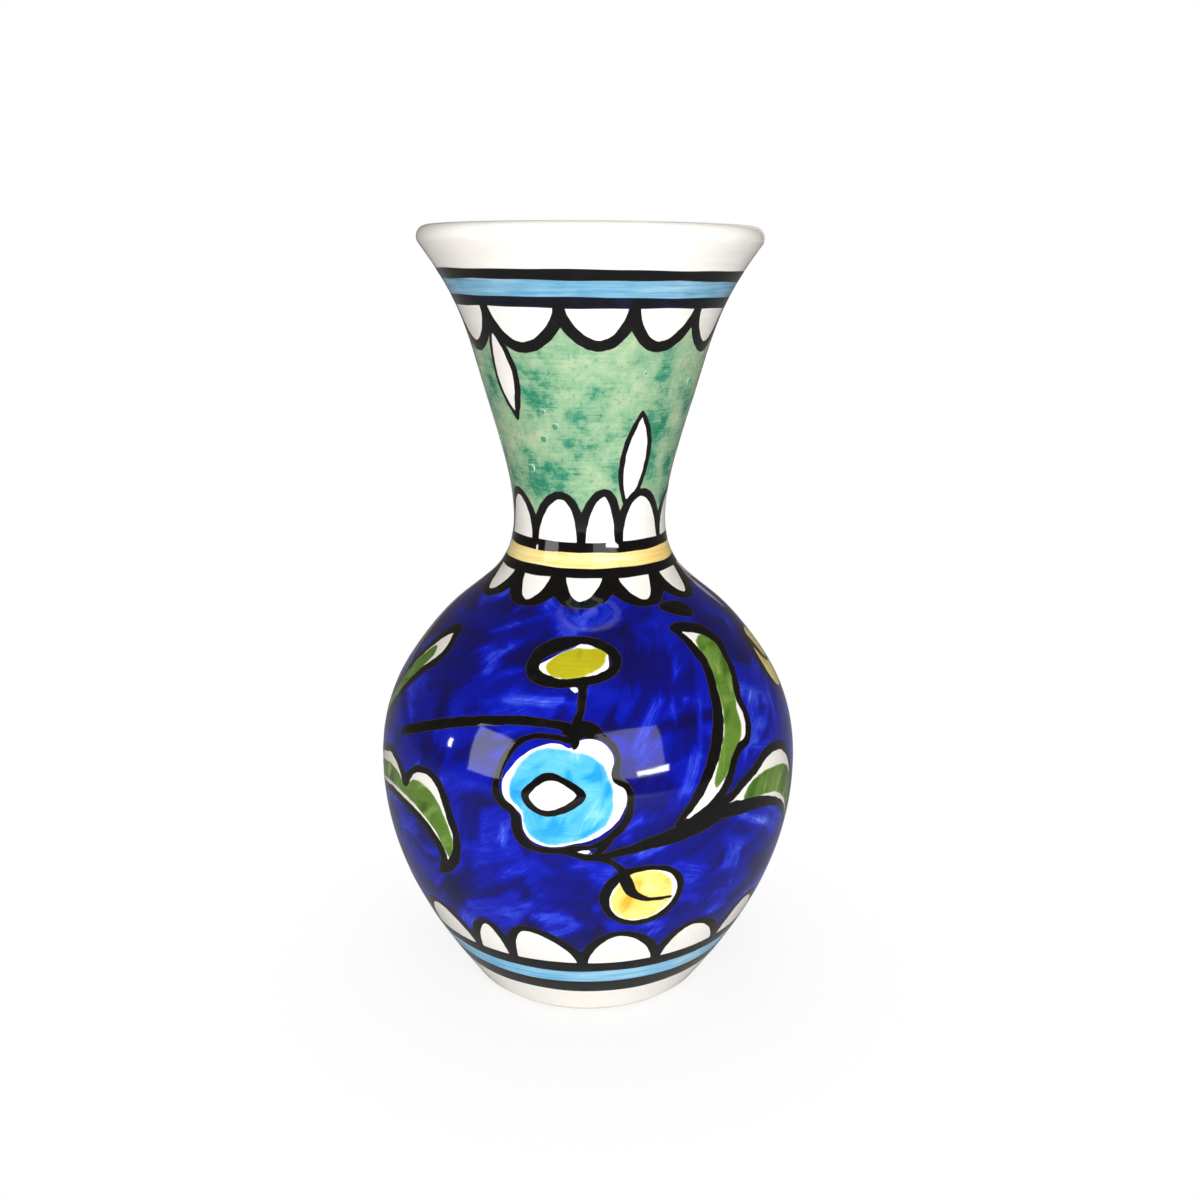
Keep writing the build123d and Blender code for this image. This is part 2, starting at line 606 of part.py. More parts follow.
# Mottled green fills the neck round the leaves and the scallops.
with BuildPart() as green_ground:
    add(NECK_LAYER)
    for whole in neck_hanging[1] + neck_standing[1]:
        add(whole, mode=Mode.SUBTRACT)
    for _, whole in neck_leaves:
        add(whole, mode=Mode.SUBTRACT)
green_ground.part.label = "green_ground"
export_step(green_ground.part, "parts/green_ground.step")


# ---- The painting of the belly -------------------------------------------------------------
# The large leaves, drawn in black.
with BuildPart() as leaf_lines:
    for line, _ in leaves:
        add(BELLY_LAYER & line)
leaf_lines.part.label = "leaf_lines"
export_step(leaf_lines.part, "parts/leaf_lines.step")

# A patch of green inside each leaf, with white glaze left round it.
with BuildPart() as leaf_greens:
    for fill in leaf_fills:
        add(BELLY_LAYER & fill)
    for line, _ in leaves:
        add(line, mode=Mode.SUBTRACT)
leaf_greens.part.label = "leaf_greens"
export_step(leaf_greens.part, "parts/leaf_greens.step")

# The outline of the flower.
with BuildPart() as flower_lines:
    for line, _ in flowers:
        add(BELLY_LAYER & line)
flower_lines.part.label = "flower_lines"
export_step(flower_lines.part, "parts/flower_lines.step")

# The ring at the heart of the flower.
with BuildPart() as flower_eyes:
    for line, _ in eye_lines:
        add(BELLY_LAYER & line)
flower_eyes.part.label = "flower_eyes"
export_step(flower_eyes.part, "parts/flower_eyes.step")

# Sky-blue petals between the ring and the outline.
with BuildPart() as flower_petals:
    for fill in flower_fills:
        add(BELLY_LAYER & fill)
    for line, _ in flowers:
        add(line, mode=Mode.SUBTRACT)
    for _, whole in eye_lines:
        add(whole, mode=Mode.SUBTRACT)
flower_petals.part.label = "flower_petals"
export_step(flower_petals.part, "parts/flower_petals.step")

# The outlines of the olive and the yellow buds, and the crease of each yellow bud.
with BuildPart() as bud_lines:
    for line, _ in olive_buds + yellow_buds:
        add(BELLY_LAYER & line)
    for crease in yellow_creases:
        add(BELLY_LAYER & crease)
bud_lines.part.label = "bud_lines"
export_step(bud_lines.part, "parts/bud_lines.step")

# Olive green inside the buds above the flowers.
with BuildPart() as olive_bud_fills:
    for fill in olive_fills:
        add(BELLY_LAYER & fill)
    for line, _ in olive_buds:
        add(line, mode=Mode.SUBTRACT)
olive_bud_fills.part.label = "olive_bud_fills"
export_step(olive_bud_fills.part, "parts/olive_bud_fills.step")

# Yellow inside the buds beside the flowers.
with BuildPart() as yellow_bud_fills:
    for fill in yellow_fills:
        add(BELLY_LAYER & fill)
    for line, _ in yellow_buds:
        add(line, mode=Mode.SUBTRACT)
    for crease in yellow_creases:
        add(crease, mode=Mode.SUBTRACT)
yellow_bud_fills.part.label = "yellow_bud_fills"
export_step(yellow_bud_fills.part, "parts/yellow_bud_fills.step")

# Stems from the leaves to the flowers and the buds.
with BuildPart() as stem_lines:
    for stem in stems:
        add(BELLY_LAYER & stem)
    for whole in motifs:
        add(whole, mode=Mode.SUBTRACT)
stem_lines.part.label = "stem_lines"
export_step(stem_lines.part, "parts/stem_lines.step")

# Deep blue fills the belly round everything painted on it.
with BuildPart() as cobalt_ground:
    add(BELLY_LAYER)
    for whole in shoulder_hanging[1] + foot_standing[1] + motifs + stems:
        add(whole, mode=Mode.SUBTRACT)
cobalt_ground.part.label = "cobalt_ground"
export_step(cobalt_ground.part, "parts/cobalt_ground.step")
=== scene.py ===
# %% [markdown]
# # A hand-painted talavera vase
# The real vase is one piece of fired clay in several coats. Pale clay is thrown on a wheel, a
# white glaze covers it inside and out, and enamel colours are brushed on top: black drawing,
# cobalt blue round the belly, a mottled green round the neck, and bands painted while it turns.
#
# The model is built in the same order. One function says where the surface of the vase is, and
# every coat of glaze and every brush stroke is a thin closed mesh laid on that surface. The
# drawing is real geometry, so its edges stay sharp however near the camera comes.

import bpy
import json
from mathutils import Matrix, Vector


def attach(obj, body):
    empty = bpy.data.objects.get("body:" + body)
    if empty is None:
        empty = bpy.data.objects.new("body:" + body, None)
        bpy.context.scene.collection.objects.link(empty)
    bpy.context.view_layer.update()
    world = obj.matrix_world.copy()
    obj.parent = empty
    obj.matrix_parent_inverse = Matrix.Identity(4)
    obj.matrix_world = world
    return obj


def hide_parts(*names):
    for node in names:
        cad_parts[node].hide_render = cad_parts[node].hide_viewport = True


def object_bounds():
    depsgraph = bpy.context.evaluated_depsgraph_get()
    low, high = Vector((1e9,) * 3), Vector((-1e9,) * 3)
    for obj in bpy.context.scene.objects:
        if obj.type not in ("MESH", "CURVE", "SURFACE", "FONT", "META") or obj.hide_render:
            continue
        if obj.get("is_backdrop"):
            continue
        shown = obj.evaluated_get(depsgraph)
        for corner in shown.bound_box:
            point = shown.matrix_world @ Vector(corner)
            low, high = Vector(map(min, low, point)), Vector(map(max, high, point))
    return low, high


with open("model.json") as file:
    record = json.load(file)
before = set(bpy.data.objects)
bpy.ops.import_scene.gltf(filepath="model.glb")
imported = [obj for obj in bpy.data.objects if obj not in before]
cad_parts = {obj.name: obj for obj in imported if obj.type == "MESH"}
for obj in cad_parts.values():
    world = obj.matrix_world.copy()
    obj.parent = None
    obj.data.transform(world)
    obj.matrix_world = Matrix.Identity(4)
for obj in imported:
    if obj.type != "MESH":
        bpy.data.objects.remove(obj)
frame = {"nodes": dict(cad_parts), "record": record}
cad_low, cad_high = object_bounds()
print("CAD box in mm:", [round(1000 * v, 1) for v in (*cad_low, *cad_high)])

# %% Modules
import json
import math

import bmesh
import bpy
import numpy as np

bpy.context.scene.view_settings.view_transform = "Standard"

# %% [markdown]
# ## The shape
# A thrown vase is a profile turned round an axis. Its outside goes through a few measured
# stations, given as radius and height in millimetres, and a smooth curve joins them. A cubic
# spline is the right curve here: it bends as little as it can between stations, as the potter's
# rib does.

# %% Stations of the outside, foot to lip
STATIONS = [
    (29.40, -3.0), (31.5, 0.0), (44.5, 20.0), (53.0, 40.0), (56.0, 61.0), (50.9, 84.0),
    (42.9, 96.0), (35.4, 104.0), (25.8, 112.0), (20.9, 120.0), (19.9, 126.5), (22.4, 144.0),
    (28.1, 164.0), (33.3, 180.0), (38.4, 189.5), (42.625, 195.634),
]  # fmt: skip
FOOT_LEAN = 0.56 / 0.83
LIP_ANGLE = math.radians(36)
LIP_RADIUS = 2.75
LIP_CENTRE = (40.4, 197.25)
WALL = 5.5
GLAZE = 0.35
FLOOR = 8.0
CORNER = 5.0
BARE_FOOT = 1.4


# %% A smooth curve through the stations
def spline_slopes(x, y, first, last):
    """Slopes at the stations that make a cubic curve smooth to its second derivative."""
    count = len(x)
    gap = np.diff(x)
    rise = np.diff(y) / gap
    matrix = np.eye(count)
    right = np.zeros(count)
    right[0], right[-1] = first, last
    for i in range(1, count - 1):
        matrix[i, i - 1 : i + 2] = (1 / gap[i - 1], 2 / gap[i - 1] + 2 / gap[i], 1 / gap[i])
        right[i] = 3 * (rise[i - 1] / gap[i - 1] + rise[i] / gap[i])
    return np.linalg.solve(matrix, right)


station_r, station_z = np.array(STATIONS).T
station_slope = spline_slopes(station_z, station_r, FOOT_LEAN, math.tan(LIP_ANGLE))


def radius(z):
    """Radius of the glazed wall at heights z, and its slope there."""
    z = np.clip(z, station_z[0], station_z[-1])
    i = np.clip(np.searchsorted(station_z, z) - 1, 0, len(station_z) - 2)
    gap = station_z[i + 1] - station_z[i]
    t = (z - station_z[i]) / gap
    r0, r1 = station_r[i], station_r[i + 1]
    m0, m1 = station_slope[i] * gap, station_slope[i + 1] * gap
    value = (2 * t**3 - 3 * t**2 + 1) * r0 + (t**3 - 2 * t**2 + t) * m0
    value += (3 * t**2 - 2 * t**3) * r1 + (t**3 - t**2) * m1
    slope = (6 * t**2 - 6 * t) * (r0 - r1) + (3 * t**2 - 4 * t + 1) * m0
    slope += (3 * t**2 - 2 * t) * m1
    return value, slope / gap


print("belly, waist and lip radius:", [round(float(radius(z)[0]), 2) for z in (61, 126.5, 195.6)])


# %% [markdown]
# A place on the vase is an azimuth in degrees, 0 at the front and growing to the right, and a
# height in millimetres. `surface` turns places into points in metres, raised square to the wall
# by a lift. The hands that threw it left it a tenth of a millimetre out of round, and so does
# `sway`: without it the reflections look machined.


# %% From a place to a point
def sway(azimuth, z):
    """How far the wall is from a true circle, in millimetres. The foot stands true."""
    turn = np.radians(azimuth)
    wave = 0.10 * np.sin(2 * turn + 0.6 + z / 55) + 0.06 * np.sin(3 * turn + 2.0 - z / 31)
    return wave * np.clip(z / 12, 0, 1)


def surface(azimuth, z, lift=0.0):
    """Points in metres for places on the glazed wall, lifted square to it by lift millimetres."""
    r, slope = radius(z)
    size = np.sqrt(1 + slope**2)
    out = r + sway(azimuth, z) + lift / size
    turn = np.radians(azimuth)
    points = (out * np.sin(turn), -out * np.cos(turn), z - lift * slope / size)
    return np.stack(np.broadcast_arrays(*points), axis=-1) / 1000


# %% [markdown]
# ## Clay and glaze
# The clay and its two glazes are lathe work: a closed section turned round the axis. Each is
# kept as a closed solid, so that it has a real thickness wherever it is cut or seen from below.


# %% A closed section, turned round the axis
def lathe(name, section, segments):
    """Turn a closed section, a list of (radius, z) in millimetres, into a closed mesh."""
    section = [p for i, p in enumerate(section) if math.dist(p, section[i - 1]) > 1e-6]
    azimuths = np.arange(segments) * 360 / segments
    turn = np.radians(azimuths)
    vertices, rings = [], []
    for r, z in section:
        if r < 1e-6:
            rings.append([len(vertices)] * segments)
            vertices.append((0.0, 0.0, z / 1000))
            continue
        wide = r + sway(azimuths, z)
        rings.append(list(range(len(vertices), len(vertices) + segments)))
        ring = np.stack([wide * np.sin(turn), -wide * np.cos(turn), np.full(segments, z)], 1)
        vertices.extend((ring / 1000).tolist())
    faces = []
    for i in range(len(section)):
        low, high = rings[i - 1], rings[i]
        if low[0] == low[1] and high[0] == high[1]:
            continue
        for k in range(segments):
            n = (k + 1) % segments
            corners = [low[k], low[n], high[n], high[k]]
            faces.append([c for j, c in enumerate(corners) if c != corners[j - 1]])
    return solid(name, vertices, faces)


def solid(name, vertices, faces, shades=None):
    """A smooth-shaded mesh object with its normals outside and its real corners kept sharp."""
    mesh = bpy.data.meshes.new(name)
    mesh.from_pydata(vertices, [], faces)
    for key, values in (shades or {}).items():
        mesh.attributes.new(key, "FLOAT", "POINT").data.foreach_set("value", values)
    work = bmesh.new()
    work.from_mesh(mesh)
    bmesh.ops.recalc_face_normals(work, faces=work.faces)
    work.to_mesh(mesh)
    work.free()
    mesh.shade_smooth()
    mesh.set_sharp_from_angle(angle=math.radians(38))
    piece = bpy.data.objects.new(name, mesh)
    bpy.context.scene.collection.objects.link(piece)
    return piece


# %% Sections of the clay and the two glazes
def wall_line(depth, low, high, step=1.0):
    """The wall's line at a depth below the glazed face, between two heights of that line."""
    z = np.arange(-3.0, station_z[-1] + 1e-6, step / 2)
    z = np.append(z[z < station_z[-1] - 0.1], station_z[-1])
    r, slope = radius(z)
    size = np.sqrt(1 + slope**2)
    line_r, line_z = r - depth / size, z + depth * slope / size
    steps = max(2, int((high - low) / step) + 1)
    heights = np.linspace(low, high, steps)
    return [(float(np.interp(h, line_z, line_r)), float(h)) for h in heights]


def lip_line(ball, start, end, steps):
    """Part of the rounded lip: turned from straight up, outwards positive."""
    turns = [math.radians(start + (end - start) * i / steps) for i in range(steps + 1)]
    return [(LIP_CENTRE[0] + ball * math.sin(t), LIP_CENTRE[1] + ball * math.cos(t)) for t in turns]


def top_of(depth):
    """Height at which the wall's line at this depth meets the lip."""
    return station_z[-1] + depth * math.sin(LIP_ANGLE)


def inside_line(depth, floor, step=1.0):
    """From the lip down the inside wall, round the corner and over the floor to the axis."""
    wall = wall_line(depth, floor + CORNER, top_of(depth), step)[::-1]
    foot_r = wall[-1][0]
    lean = math.atan2(wall[-2][0] - foot_r, wall[-2][1] - wall[-1][1])
    bend = CORNER / (1 - math.sin(lean))
    centre = foot_r - bend * math.cos(lean)
    turns = np.linspace(math.pi / 2 + lean, math.pi, 10)[1:]
    corner = [(centre + bend * math.sin(t), floor + bend + bend * math.cos(t)) for t in turns]
    return wall + corner + [(centre * 0.5, floor), (0.0, floor)]


# Faces that stay hidden are cut coarser. The lip turns from 126 degrees outside to 54 inside.
COARSE = 3.0
outside = wall_line(0, BARE_FOOT, top_of(0)) + lip_line(LIP_RADIUS, 126, -54, 40)[1:]
outside_back = lip_line(LIP_RADIUS - GLAZE, -54, 126, 12)[:-1]
outside_back += wall_line(GLAZE, BARE_FOOT, top_of(GLAZE), COARSE)[::-1]
inside = inside_line(WALL, FLOOR)
inside_back = inside_line(WALL - GLAZE, FLOOR - GLAZE, COARSE)
clay_outside = wall_line(GLAZE, 0.9, top_of(GLAZE), COARSE)
clay_lip = lip_line(LIP_RADIUS - GLAZE, 126, -54, 12)[1:-1]
foot_ring = [
    (0.0, 2.5), (24.0, 2.5), (24.5, 1.6), (25.4, 0.35), (26.4, 0.0), (30.2, 0.0), (31.2, 0.3),
]  # fmt: skip

outer_glaze = lathe("outer_glaze_coat", outside + outside_back, 304)
inner_glaze = lathe("inner_glaze_coat", inside + inside_back[::-1], 256)
clay_body = lathe("clay_wall", foot_ring + clay_outside + clay_lip + inside_back, 192)
for coat in (outer_glaze, inner_glaze, clay_body):
    print(coat.name, len(coat.data.polygons), "faces")

# %% [markdown]
# ## Brush work
# A brush stroke is a line with a width that changes as the painter presses and lifts. Here it is
# a row of points, each an azimuth, a height and a width. A smooth curve joins them.
#
# To turn strokes into meshes, every shape is first a *distance field*: for each place on a fine
# grid, how far it is from the edge of the paint, negative inside. Fields are easy to join, cut
# and roughen. A marching-squares pass then cuts the grid exactly where the distance is zero, so
# a smooth edge needs no more points than the grid has.


# %% Smooth lines through given points
def smooth(points, closed=False, spacing=0.3):
    """A dense smooth line through points of any width; the first two columns are a place."""
    p = np.array(points, float)
    if closed:
        p = np.vstack([p[-1], p, p[0], p[1]])
    else:
        p = np.vstack([2 * p[0] - p[1], p, 2 * p[-1] - p[-2]])
    line = []
    for a, b, c, d in zip(p[:-3], p[1:-2], p[2:-1], p[3:]):
        reach = math.dist(b[:2] * (0.9, 1), c[:2] * (0.9, 1))
        t = np.linspace(0, 1, max(2, int(reach / spacing)), endpoint=False)[:, None]
        mixed = 2 * b + (c - a) * t + (2 * a - 5 * b + 4 * c - d) * t**2
        line.append((mixed + (3 * b - a - 3 * c + d) * t**3) / 2)
    if not closed:
        line.append(p[-2][None])
    return np.vstack(line)


def joined(*runs):
    """One closed outline out of several smooth runs that meet in corners."""
    return np.vstack([smooth(run)[:-1] for run in runs])


# %% Distance fields
def tremble(azimuth, z, size=0.12):
    """The small unevenness of a hand-painted edge, in millimetres."""
    x, y = azimuth * 0.9, z
    wave = np.sin(0.55 * x + 1.3 * y + 1.0) + np.sin(1.25 * x - 0.75 * y + 2.2)
    wave = wave + 0.7 * np.sin(2.1 * x + 1.9 * y + 0.4) + 0.5 * np.sin(-3.3 * x + 2.7 * y)
    return size * wave / 2.2


def nearest(points, line, widths=None):
    """Distance in millimetres from each point to a line of places, less half its width."""
    target = 1000 * surface(line[:, 0], line[:, 1])
    half = np.zeros(len(line)) if widths is None else np.asarray(widths) / 2
    best = np.full(len(points), 1e9)
    for start in range(0, len(points), 4096):
        block = points[start : start + 4096]
        apart = np.linalg.norm(block[:, None, :] - target[None], axis=2) - half
        best[start : start + 4096] = apart.min(axis=1)
    return best


def within(azimuth, z, line):
    """Which places lie inside a closed line of places."""
    inside_it = np.zeros(azimuth.shape, bool)
    for (a0, z0), (a1, z1) in zip(line[:, :2], np.roll(line[:, :2], -1, axis=0)):
        if z0 == z1:
            continue
        crosses = (z0 > z) != (z1 > z)
        at = a0 + (z - z0) / (z1 - z0) * (a1 - a0)
        inside_it ^= crosses & (azimuth < at)
    return inside_it


class Patch:
    """A piece of the wall, seen as a grid of places, with a distance at each."""

    REACH = 16.0  # beyond this many millimetres a line makes no difference

    def __init__(self, azimuths, heights, wraps=False):
        self.azimuths, self.heights, self.wraps = azimuths, heights, wraps
        self.a, self.z = np.meshgrid(azimuths, heights)
        self.points = 1000 * surface(self.a.ravel(), self.z.ravel())
        self.depth = np.full(self.a.shape, 50.0)
        self.shades = {}

    def local(self, line):
        """Azimuths of this grid, taken as the turn nearest to a line."""
        middle = (line[:, 0].min() + line[:, 0].max()) / 2
        return (self.a - middle + 180) % 360 - 180 + middle

    def stroke(self, line):
        """Distance to a brush line of (azimuth, height, width)."""
        return self.near(line, line[:, 2])

    def near(self, line, widths=None):
        """Distance to a line, worked out only where it matters."""
        a, reach = self.local(line), self.REACH
        span = np.degrees(reach / np.maximum(radius(self.z)[0], 8))
        close = (a > line[:, 0].min() - span) & (a < line[:, 0].max() + span)
        close &= (self.z > line[:, 1].min() - reach) & (self.z < line[:, 1].max() + reach)
        result = np.full(self.a.shape, reach)
        picked = self.points.reshape(*self.a.shape, 3)[close]
        if len(picked):
            result[close] = nearest(picked, line, widths)
        return result

    def fill(self, line):
        """Signed distance to the edge of a filled patch."""
        apart = self.near(line)
        return np.where(within(self.local(line), self.z, line), -apart, apart)


def patch_round(lines, cell, margin=3.0):
    """A grid that covers these lines, with cells of this size in millimetres."""
    both = np.vstack([line[:, :2] for line in lines])
    low, high = both.min(axis=0), both.max(axis=0)
    tall = np.arange(low[1] - margin, high[1] + margin + cell, cell)
    step = math.degrees(cell / radius(tall)[0].max())
    side = math.degrees(margin / radius(tall)[0].min())
    return Patch(np.arange(low[0] - side, high[0] + side + step, step), tall)


def patch_ring(low, high, cell):
    """A grid all the way round, between two heights."""
    tall = np.linspace(low, high, max(4, int((high - low) / cell) + 1))
    count = int(2 * math.pi * radius(tall)[0].max() / cell)
    return Patch(np.arange(count) * 360 / count - 180, tall, wraps=True)


# %% From fields to thin closed meshes
def contour(patch):
    """Cut a patch's grid where its depth is zero: places, depths and faces of the inside."""
    d = patch.depth
    columns = d.shape[1]
    inside_it = d < 0
    index = np.full(d.shape, -1)
    index[inside_it] = np.arange(inside_it.sum())
    places = list(zip(patch.a[inside_it], patch.z[inside_it]))
    depths = list(-d[inside_it])
    sources = list(zip(*np.nonzero(inside_it)))
    cuts = {}

    def cut(first, second):
        key = (first, second) if first < second else (second, first)
        if key not in cuts:
            (r0, c0), (r1, c1) = key
            share = d[r0, c0] / (d[r0, c0] - d[r1, c1])
            a0, a1 = patch.a[r0, c0], patch.a[r1, c1]
            if abs(a1 - a0) > 180:
                a1 += 360 if a1 < a0 else -360
            z = patch.z[r0, c0] * (1 - share) + patch.z[r1, c1] * share
            places.append((a0 + (a1 - a0) * share, z))
            depths.append(0.0)
            sources.append((r0, c0) if inside_it[r0, c0] else (r1, c1))
            cuts[key] = len(places) - 1
        return cuts[key]

    used = inside_it + np.roll(inside_it, -1, axis=1).astype(int)
    used = used[:-1] + used[1:]
    faces = []
    for r, c in zip(*np.nonzero(used if patch.wraps else used[:, :-1])):
        n = (c + 1) % columns
        corners = [(r, c), (r, n), (r + 1, n), (r + 1, c)]
        if used[r, c] == 4:
            faces.append([index[q] for q in corners])
            continue
        face = []
        for k, here in enumerate(corners):
            after = corners[(k + 1) % 4]
            if inside_it[here]:
                face.append(index[here])
            if inside_it[here] != inside_it[after]:
                face.append(cut(here, after))
        if len(face) > 2:
            faces.append(face)
    return np.array(places), np.array(depths), faces, np.array(sources)


# How thick paint lies, in millimetres: at the rim, the rise, and how far in it has risen.
LINE = (0.03, 0.02, 0.8)
FILL = (0.004, 0.014, 1.2)
GROUND = (0.004, 0.014, 1.5)
BAND = (0.008, 0.02, 0.8)
SUNK = -0.06  # paint reaches this deep into the glaze, so that no gap shows under its rim


def coat(name, patches, base, rise, soft):
    """Lay patches of paint on the glaze as one closed mesh: base thick at the rim, then rising."""
    vertices, faces = [], []
    shades = {key: [] for key in ("edge", *patches[0].shades)}
    for patch in patches:
        places, depths, cells, sources = contour(patch)
        if not cells:
            continue
        share = np.clip(depths / soft, 0, 1)
        lift = base + rise * share * (2 - share)
        top = surface(places[:, 0], places[:, 1], lift)
        back = surface(places[:, 0], places[:, 1], SUNK)
        start, count = len(vertices), len(places)
        vertices.extend([*top.tolist(), *back.tolist()])
        shades["edge"].extend([*depths, *depths])
        for key, field in patch.shades.items():
            values = field[sources[:, 0], sources[:, 1]]
            shades[key].extend([*values, *values])
        rim = {}
        for cell in cells:
            faces.append([start + i for i in cell])
            faces.append([start + count + i for i in cell[::-1]])
            for k, i in enumerate(cell):
                j = cell[(k + 1) % len(cell)]
                if rim.pop((j, i), None) is None:
                    rim[(i, j)] = True
        for i, j in rim:
            faces.append([start + j, start + i, start + count + i, start + count + j])
    piece = solid(name, vertices, faces, shades)
    print(f"{name}: {len(faces)} faces")
    return piece


# %% [markdown]
# ## What the painter drew
# These lists are the drawing. A rounded outline is one list of points, and a leaf is two runs
# of points that meet in a pointed tip.

# %% Bands: the lowest and highest edge in millimetres, and how far they run out of true
BANDS = {
    "neck_black_upper": (187.2, 189.6, 0.35),
    "neck_sky": (183.3, 187.3, 0.35),
    "neck_black_lower": (181.0, 183.5, 0.35),
    "waist_black_upper": (121.2, 123.8, 0.1),
    "waist_yellow": (117.5, 121.3, 0.1),
    "waist_black_lower": (115.3, 117.6, 0.1),
    "foot_black_upper": (18.8, 22.3, -0.5),
    "foot_sky": (14.3, 18.9, -0.5),
    "foot_black_lower": (9.9, 14.4, -0.5),
}


def band_tilt(azimuth, z, droop):
    """Bands were painted on a vase that ran slightly out of true."""
    return droop * np.sin(np.radians(azimuth)) * radius(z)[0] / 50


pieces = {}
BAND_CELL, BAND_MARGIN = 0.35, 1.2
for band, (low, high, droop) in BANDS.items():
    low_edge, high_edge = low - BAND_MARGIN, high + BAND_MARGIN
    ring = patch_ring(low_edge, high_edge, BAND_CELL * 2)
    ring = Patch(ring.azimuths, np.arange(low_edge, high_edge, BAND_CELL), wraps=True)
    z = ring.z + band_tilt(ring.a, ring.z, droop)
    uneven = 0.10 * np.sin(np.radians(ring.a) * 5 + low) + 0.06 * np.sin(np.radians(ring.a) * 13)
    ring.depth = np.maximum(low - z + uneven, z - high + uneven * 0.7)
    pieces[band] = coat(band + "_paint", [ring], *(LINE if "black" in band else BAND))

# %% Scallops: where neighbours meet, how far they reach, and the line's width at leg and middle
NECK_HANGING = [-80, -47.4, -12, 18.3, 50, 81, 114, 147, 180, 213, 247]
NECK_STANDING = [-78, -42, -5.4, 22.2, 62, 99, 135, 171, 208, 245]
SHOULDER = [-82, -49, -19, 13.6, 45.8, 77.5, 109, 142, 175, 208, 242]
FOOT = [-60, -36.8, -23.6, -1.2, 22.1, 45.2, 67, 89, 112, 135, 158, 181, 204, 227, 250, 274]
ROWS = {
    "neck_hanging_scallops": (NECK_HANGING, 181.2, -9.2, 3.0, 2.7),
    "neck_standing_scallops": (NECK_STANDING, 123.6, 12.2, 2.3, 2.1),
    "shoulder_scallops": (SHOULDER, 115.5, -6.0, 4.2, 2.2),
    "foot_scallops": (FOOT, 22.0, 10.8, 2.7, 1.9),
}
ROUNDNESS = {"foot_scallops": 0.58, "neck_hanging_scallops": 0.54, "shoulder_scallops": 0.6}
LEANS = {
    "foot_scallops": {2: -0.18, 4: -0.07},
    "neck_standing_scallops": {1: 0.10, 2: 0.07, 3: -0.07},
}


def scallop_lines(row, meets, base, depth, leg, middle):
    """The centre line of every scallop in a row, as a smooth arch from leg to leg."""
    lines = []
    for number, (start, end) in enumerate(zip(meets, [*meets[1:], meets[0] + 360])):
        lean = LEANS.get(row, {}).get(number, 0.05 * math.sin(number * 2.4 + depth))
        reach = depth - 0.05 * abs(depth) * math.sin(number * 1.7 + 1)
        arch = [(start, base - depth * 0.12, leg)]
        for step in range(17):
            t = (1 - math.cos(math.pi * step / 16)) / 2
            along = t + lean * math.sin(math.pi * t)
            up = reach * math.sin(math.pi * t) ** ROUNDNESS.get(row, 0.48)
            width = middle + (leg - middle) * abs(math.cos(math.pi * t)) ** 1.5
            arch.append((start + (end - start) * along, base + up, width))
        arch.append((end, base - depth * 0.12, leg))
        lines.append(smooth(arch))
    return lines


rows = {name: scallop_lines(name, *values) for name, values in ROWS.items()}
for name, lines in rows.items():
    base, depth = ROWS[name][1:3]
    low, high = sorted((base - depth * 0.1, base + depth * 1.2))
    ring = patch_ring(low, high, 0.4)
    for line in lines:
        ring.depth = np.minimum(ring.depth, ring.stroke(line))
    ring.depth += tremble(ring.a, ring.z, 0.08)
    pieces[name] = coat(name + "_paint", [ring], *LINE)

# %% [markdown]
# ## The drawing on the neck
# Thin leaves hang from the upper scallops and stand on the lower ones. Each is two strokes that
# meet in a point at both ends. They come again round the neck, at these turns in degrees.

# %% Leaves of the neck
HANGING_LEAF = [
    [(-47.6, 176, 1), (-50.6, 172.2, 1), (-52.2, 167, 1.1), (-51.9, 162.6, 1.1),
     (-49, 158.8, 1.1), (-43.4, 154.6, 1.2)],
    [(-43.4, 154.6, 1.4), (-40.4, 158.6, 1.9), (-38.3, 162.6, 1.9), (-38.4, 166.2, 1.9),
     (-40.8, 170.4, 1.8), (-44.4, 174, 1.5), (-47.6, 176, 1)],
]  # fmt: skip
STANDING_LEAF = [
    [(30.2, 156.4, 1), (26.2, 152.4, 1.5), (22.9, 148.2, 1.5), (21.5, 143.8, 1.5),
     (21.5, 140, 1.4), (23.4, 136.6, 1.2), (25.9, 133.8, 1)],
    [(25.9, 133.8, 1), (30, 134.6, 1.2), (34.6, 136.2, 1.3), (37.4, 138.6, 1.3),
     (39.2, 142, 1.3), (39.8, 145.6, 1.4), (38.6, 149.3, 1.5), (35, 153, 1.4),
     (30.2, 156.4, 1)],
]  # fmt: skip
HANGING_TURNS = (0, 133, 250)
STANDING_TURNS = (0, 115, 230)


def turned(points, turn, rise=0.0):
    """The same points, further round the vase and higher."""
    return [(p[0] + turn, p[1] + rise, *p[2:]) for p in points]


neck_leaves = [
    joined(*[turned(run, turn) for run in leaf])
    for leaf, turns in ((HANGING_LEAF, HANGING_TURNS), (STANDING_LEAF, STANDING_TURNS))
    for turn in turns
]


def drawn(name, lines, size=0.1, cell=0.4):
    """Brush lines as one piece of black enamel."""
    patches = []
    for line in lines:
        patch = patch_round([line], cell)
        patch.depth = patch.stroke(line) + tremble(patch.a, patch.z, size)
        patches.append(patch)
    return coat(name + "_paint", patches, *LINE)


pieces["neck_leaf_lines"] = drawn("neck_leaf_lines", neck_leaves)

# %% [markdown]
# ## The drawing on the belly
# One spray of flower, buds, stems and leaves fills half of the belly, and the painter drew it
# twice.

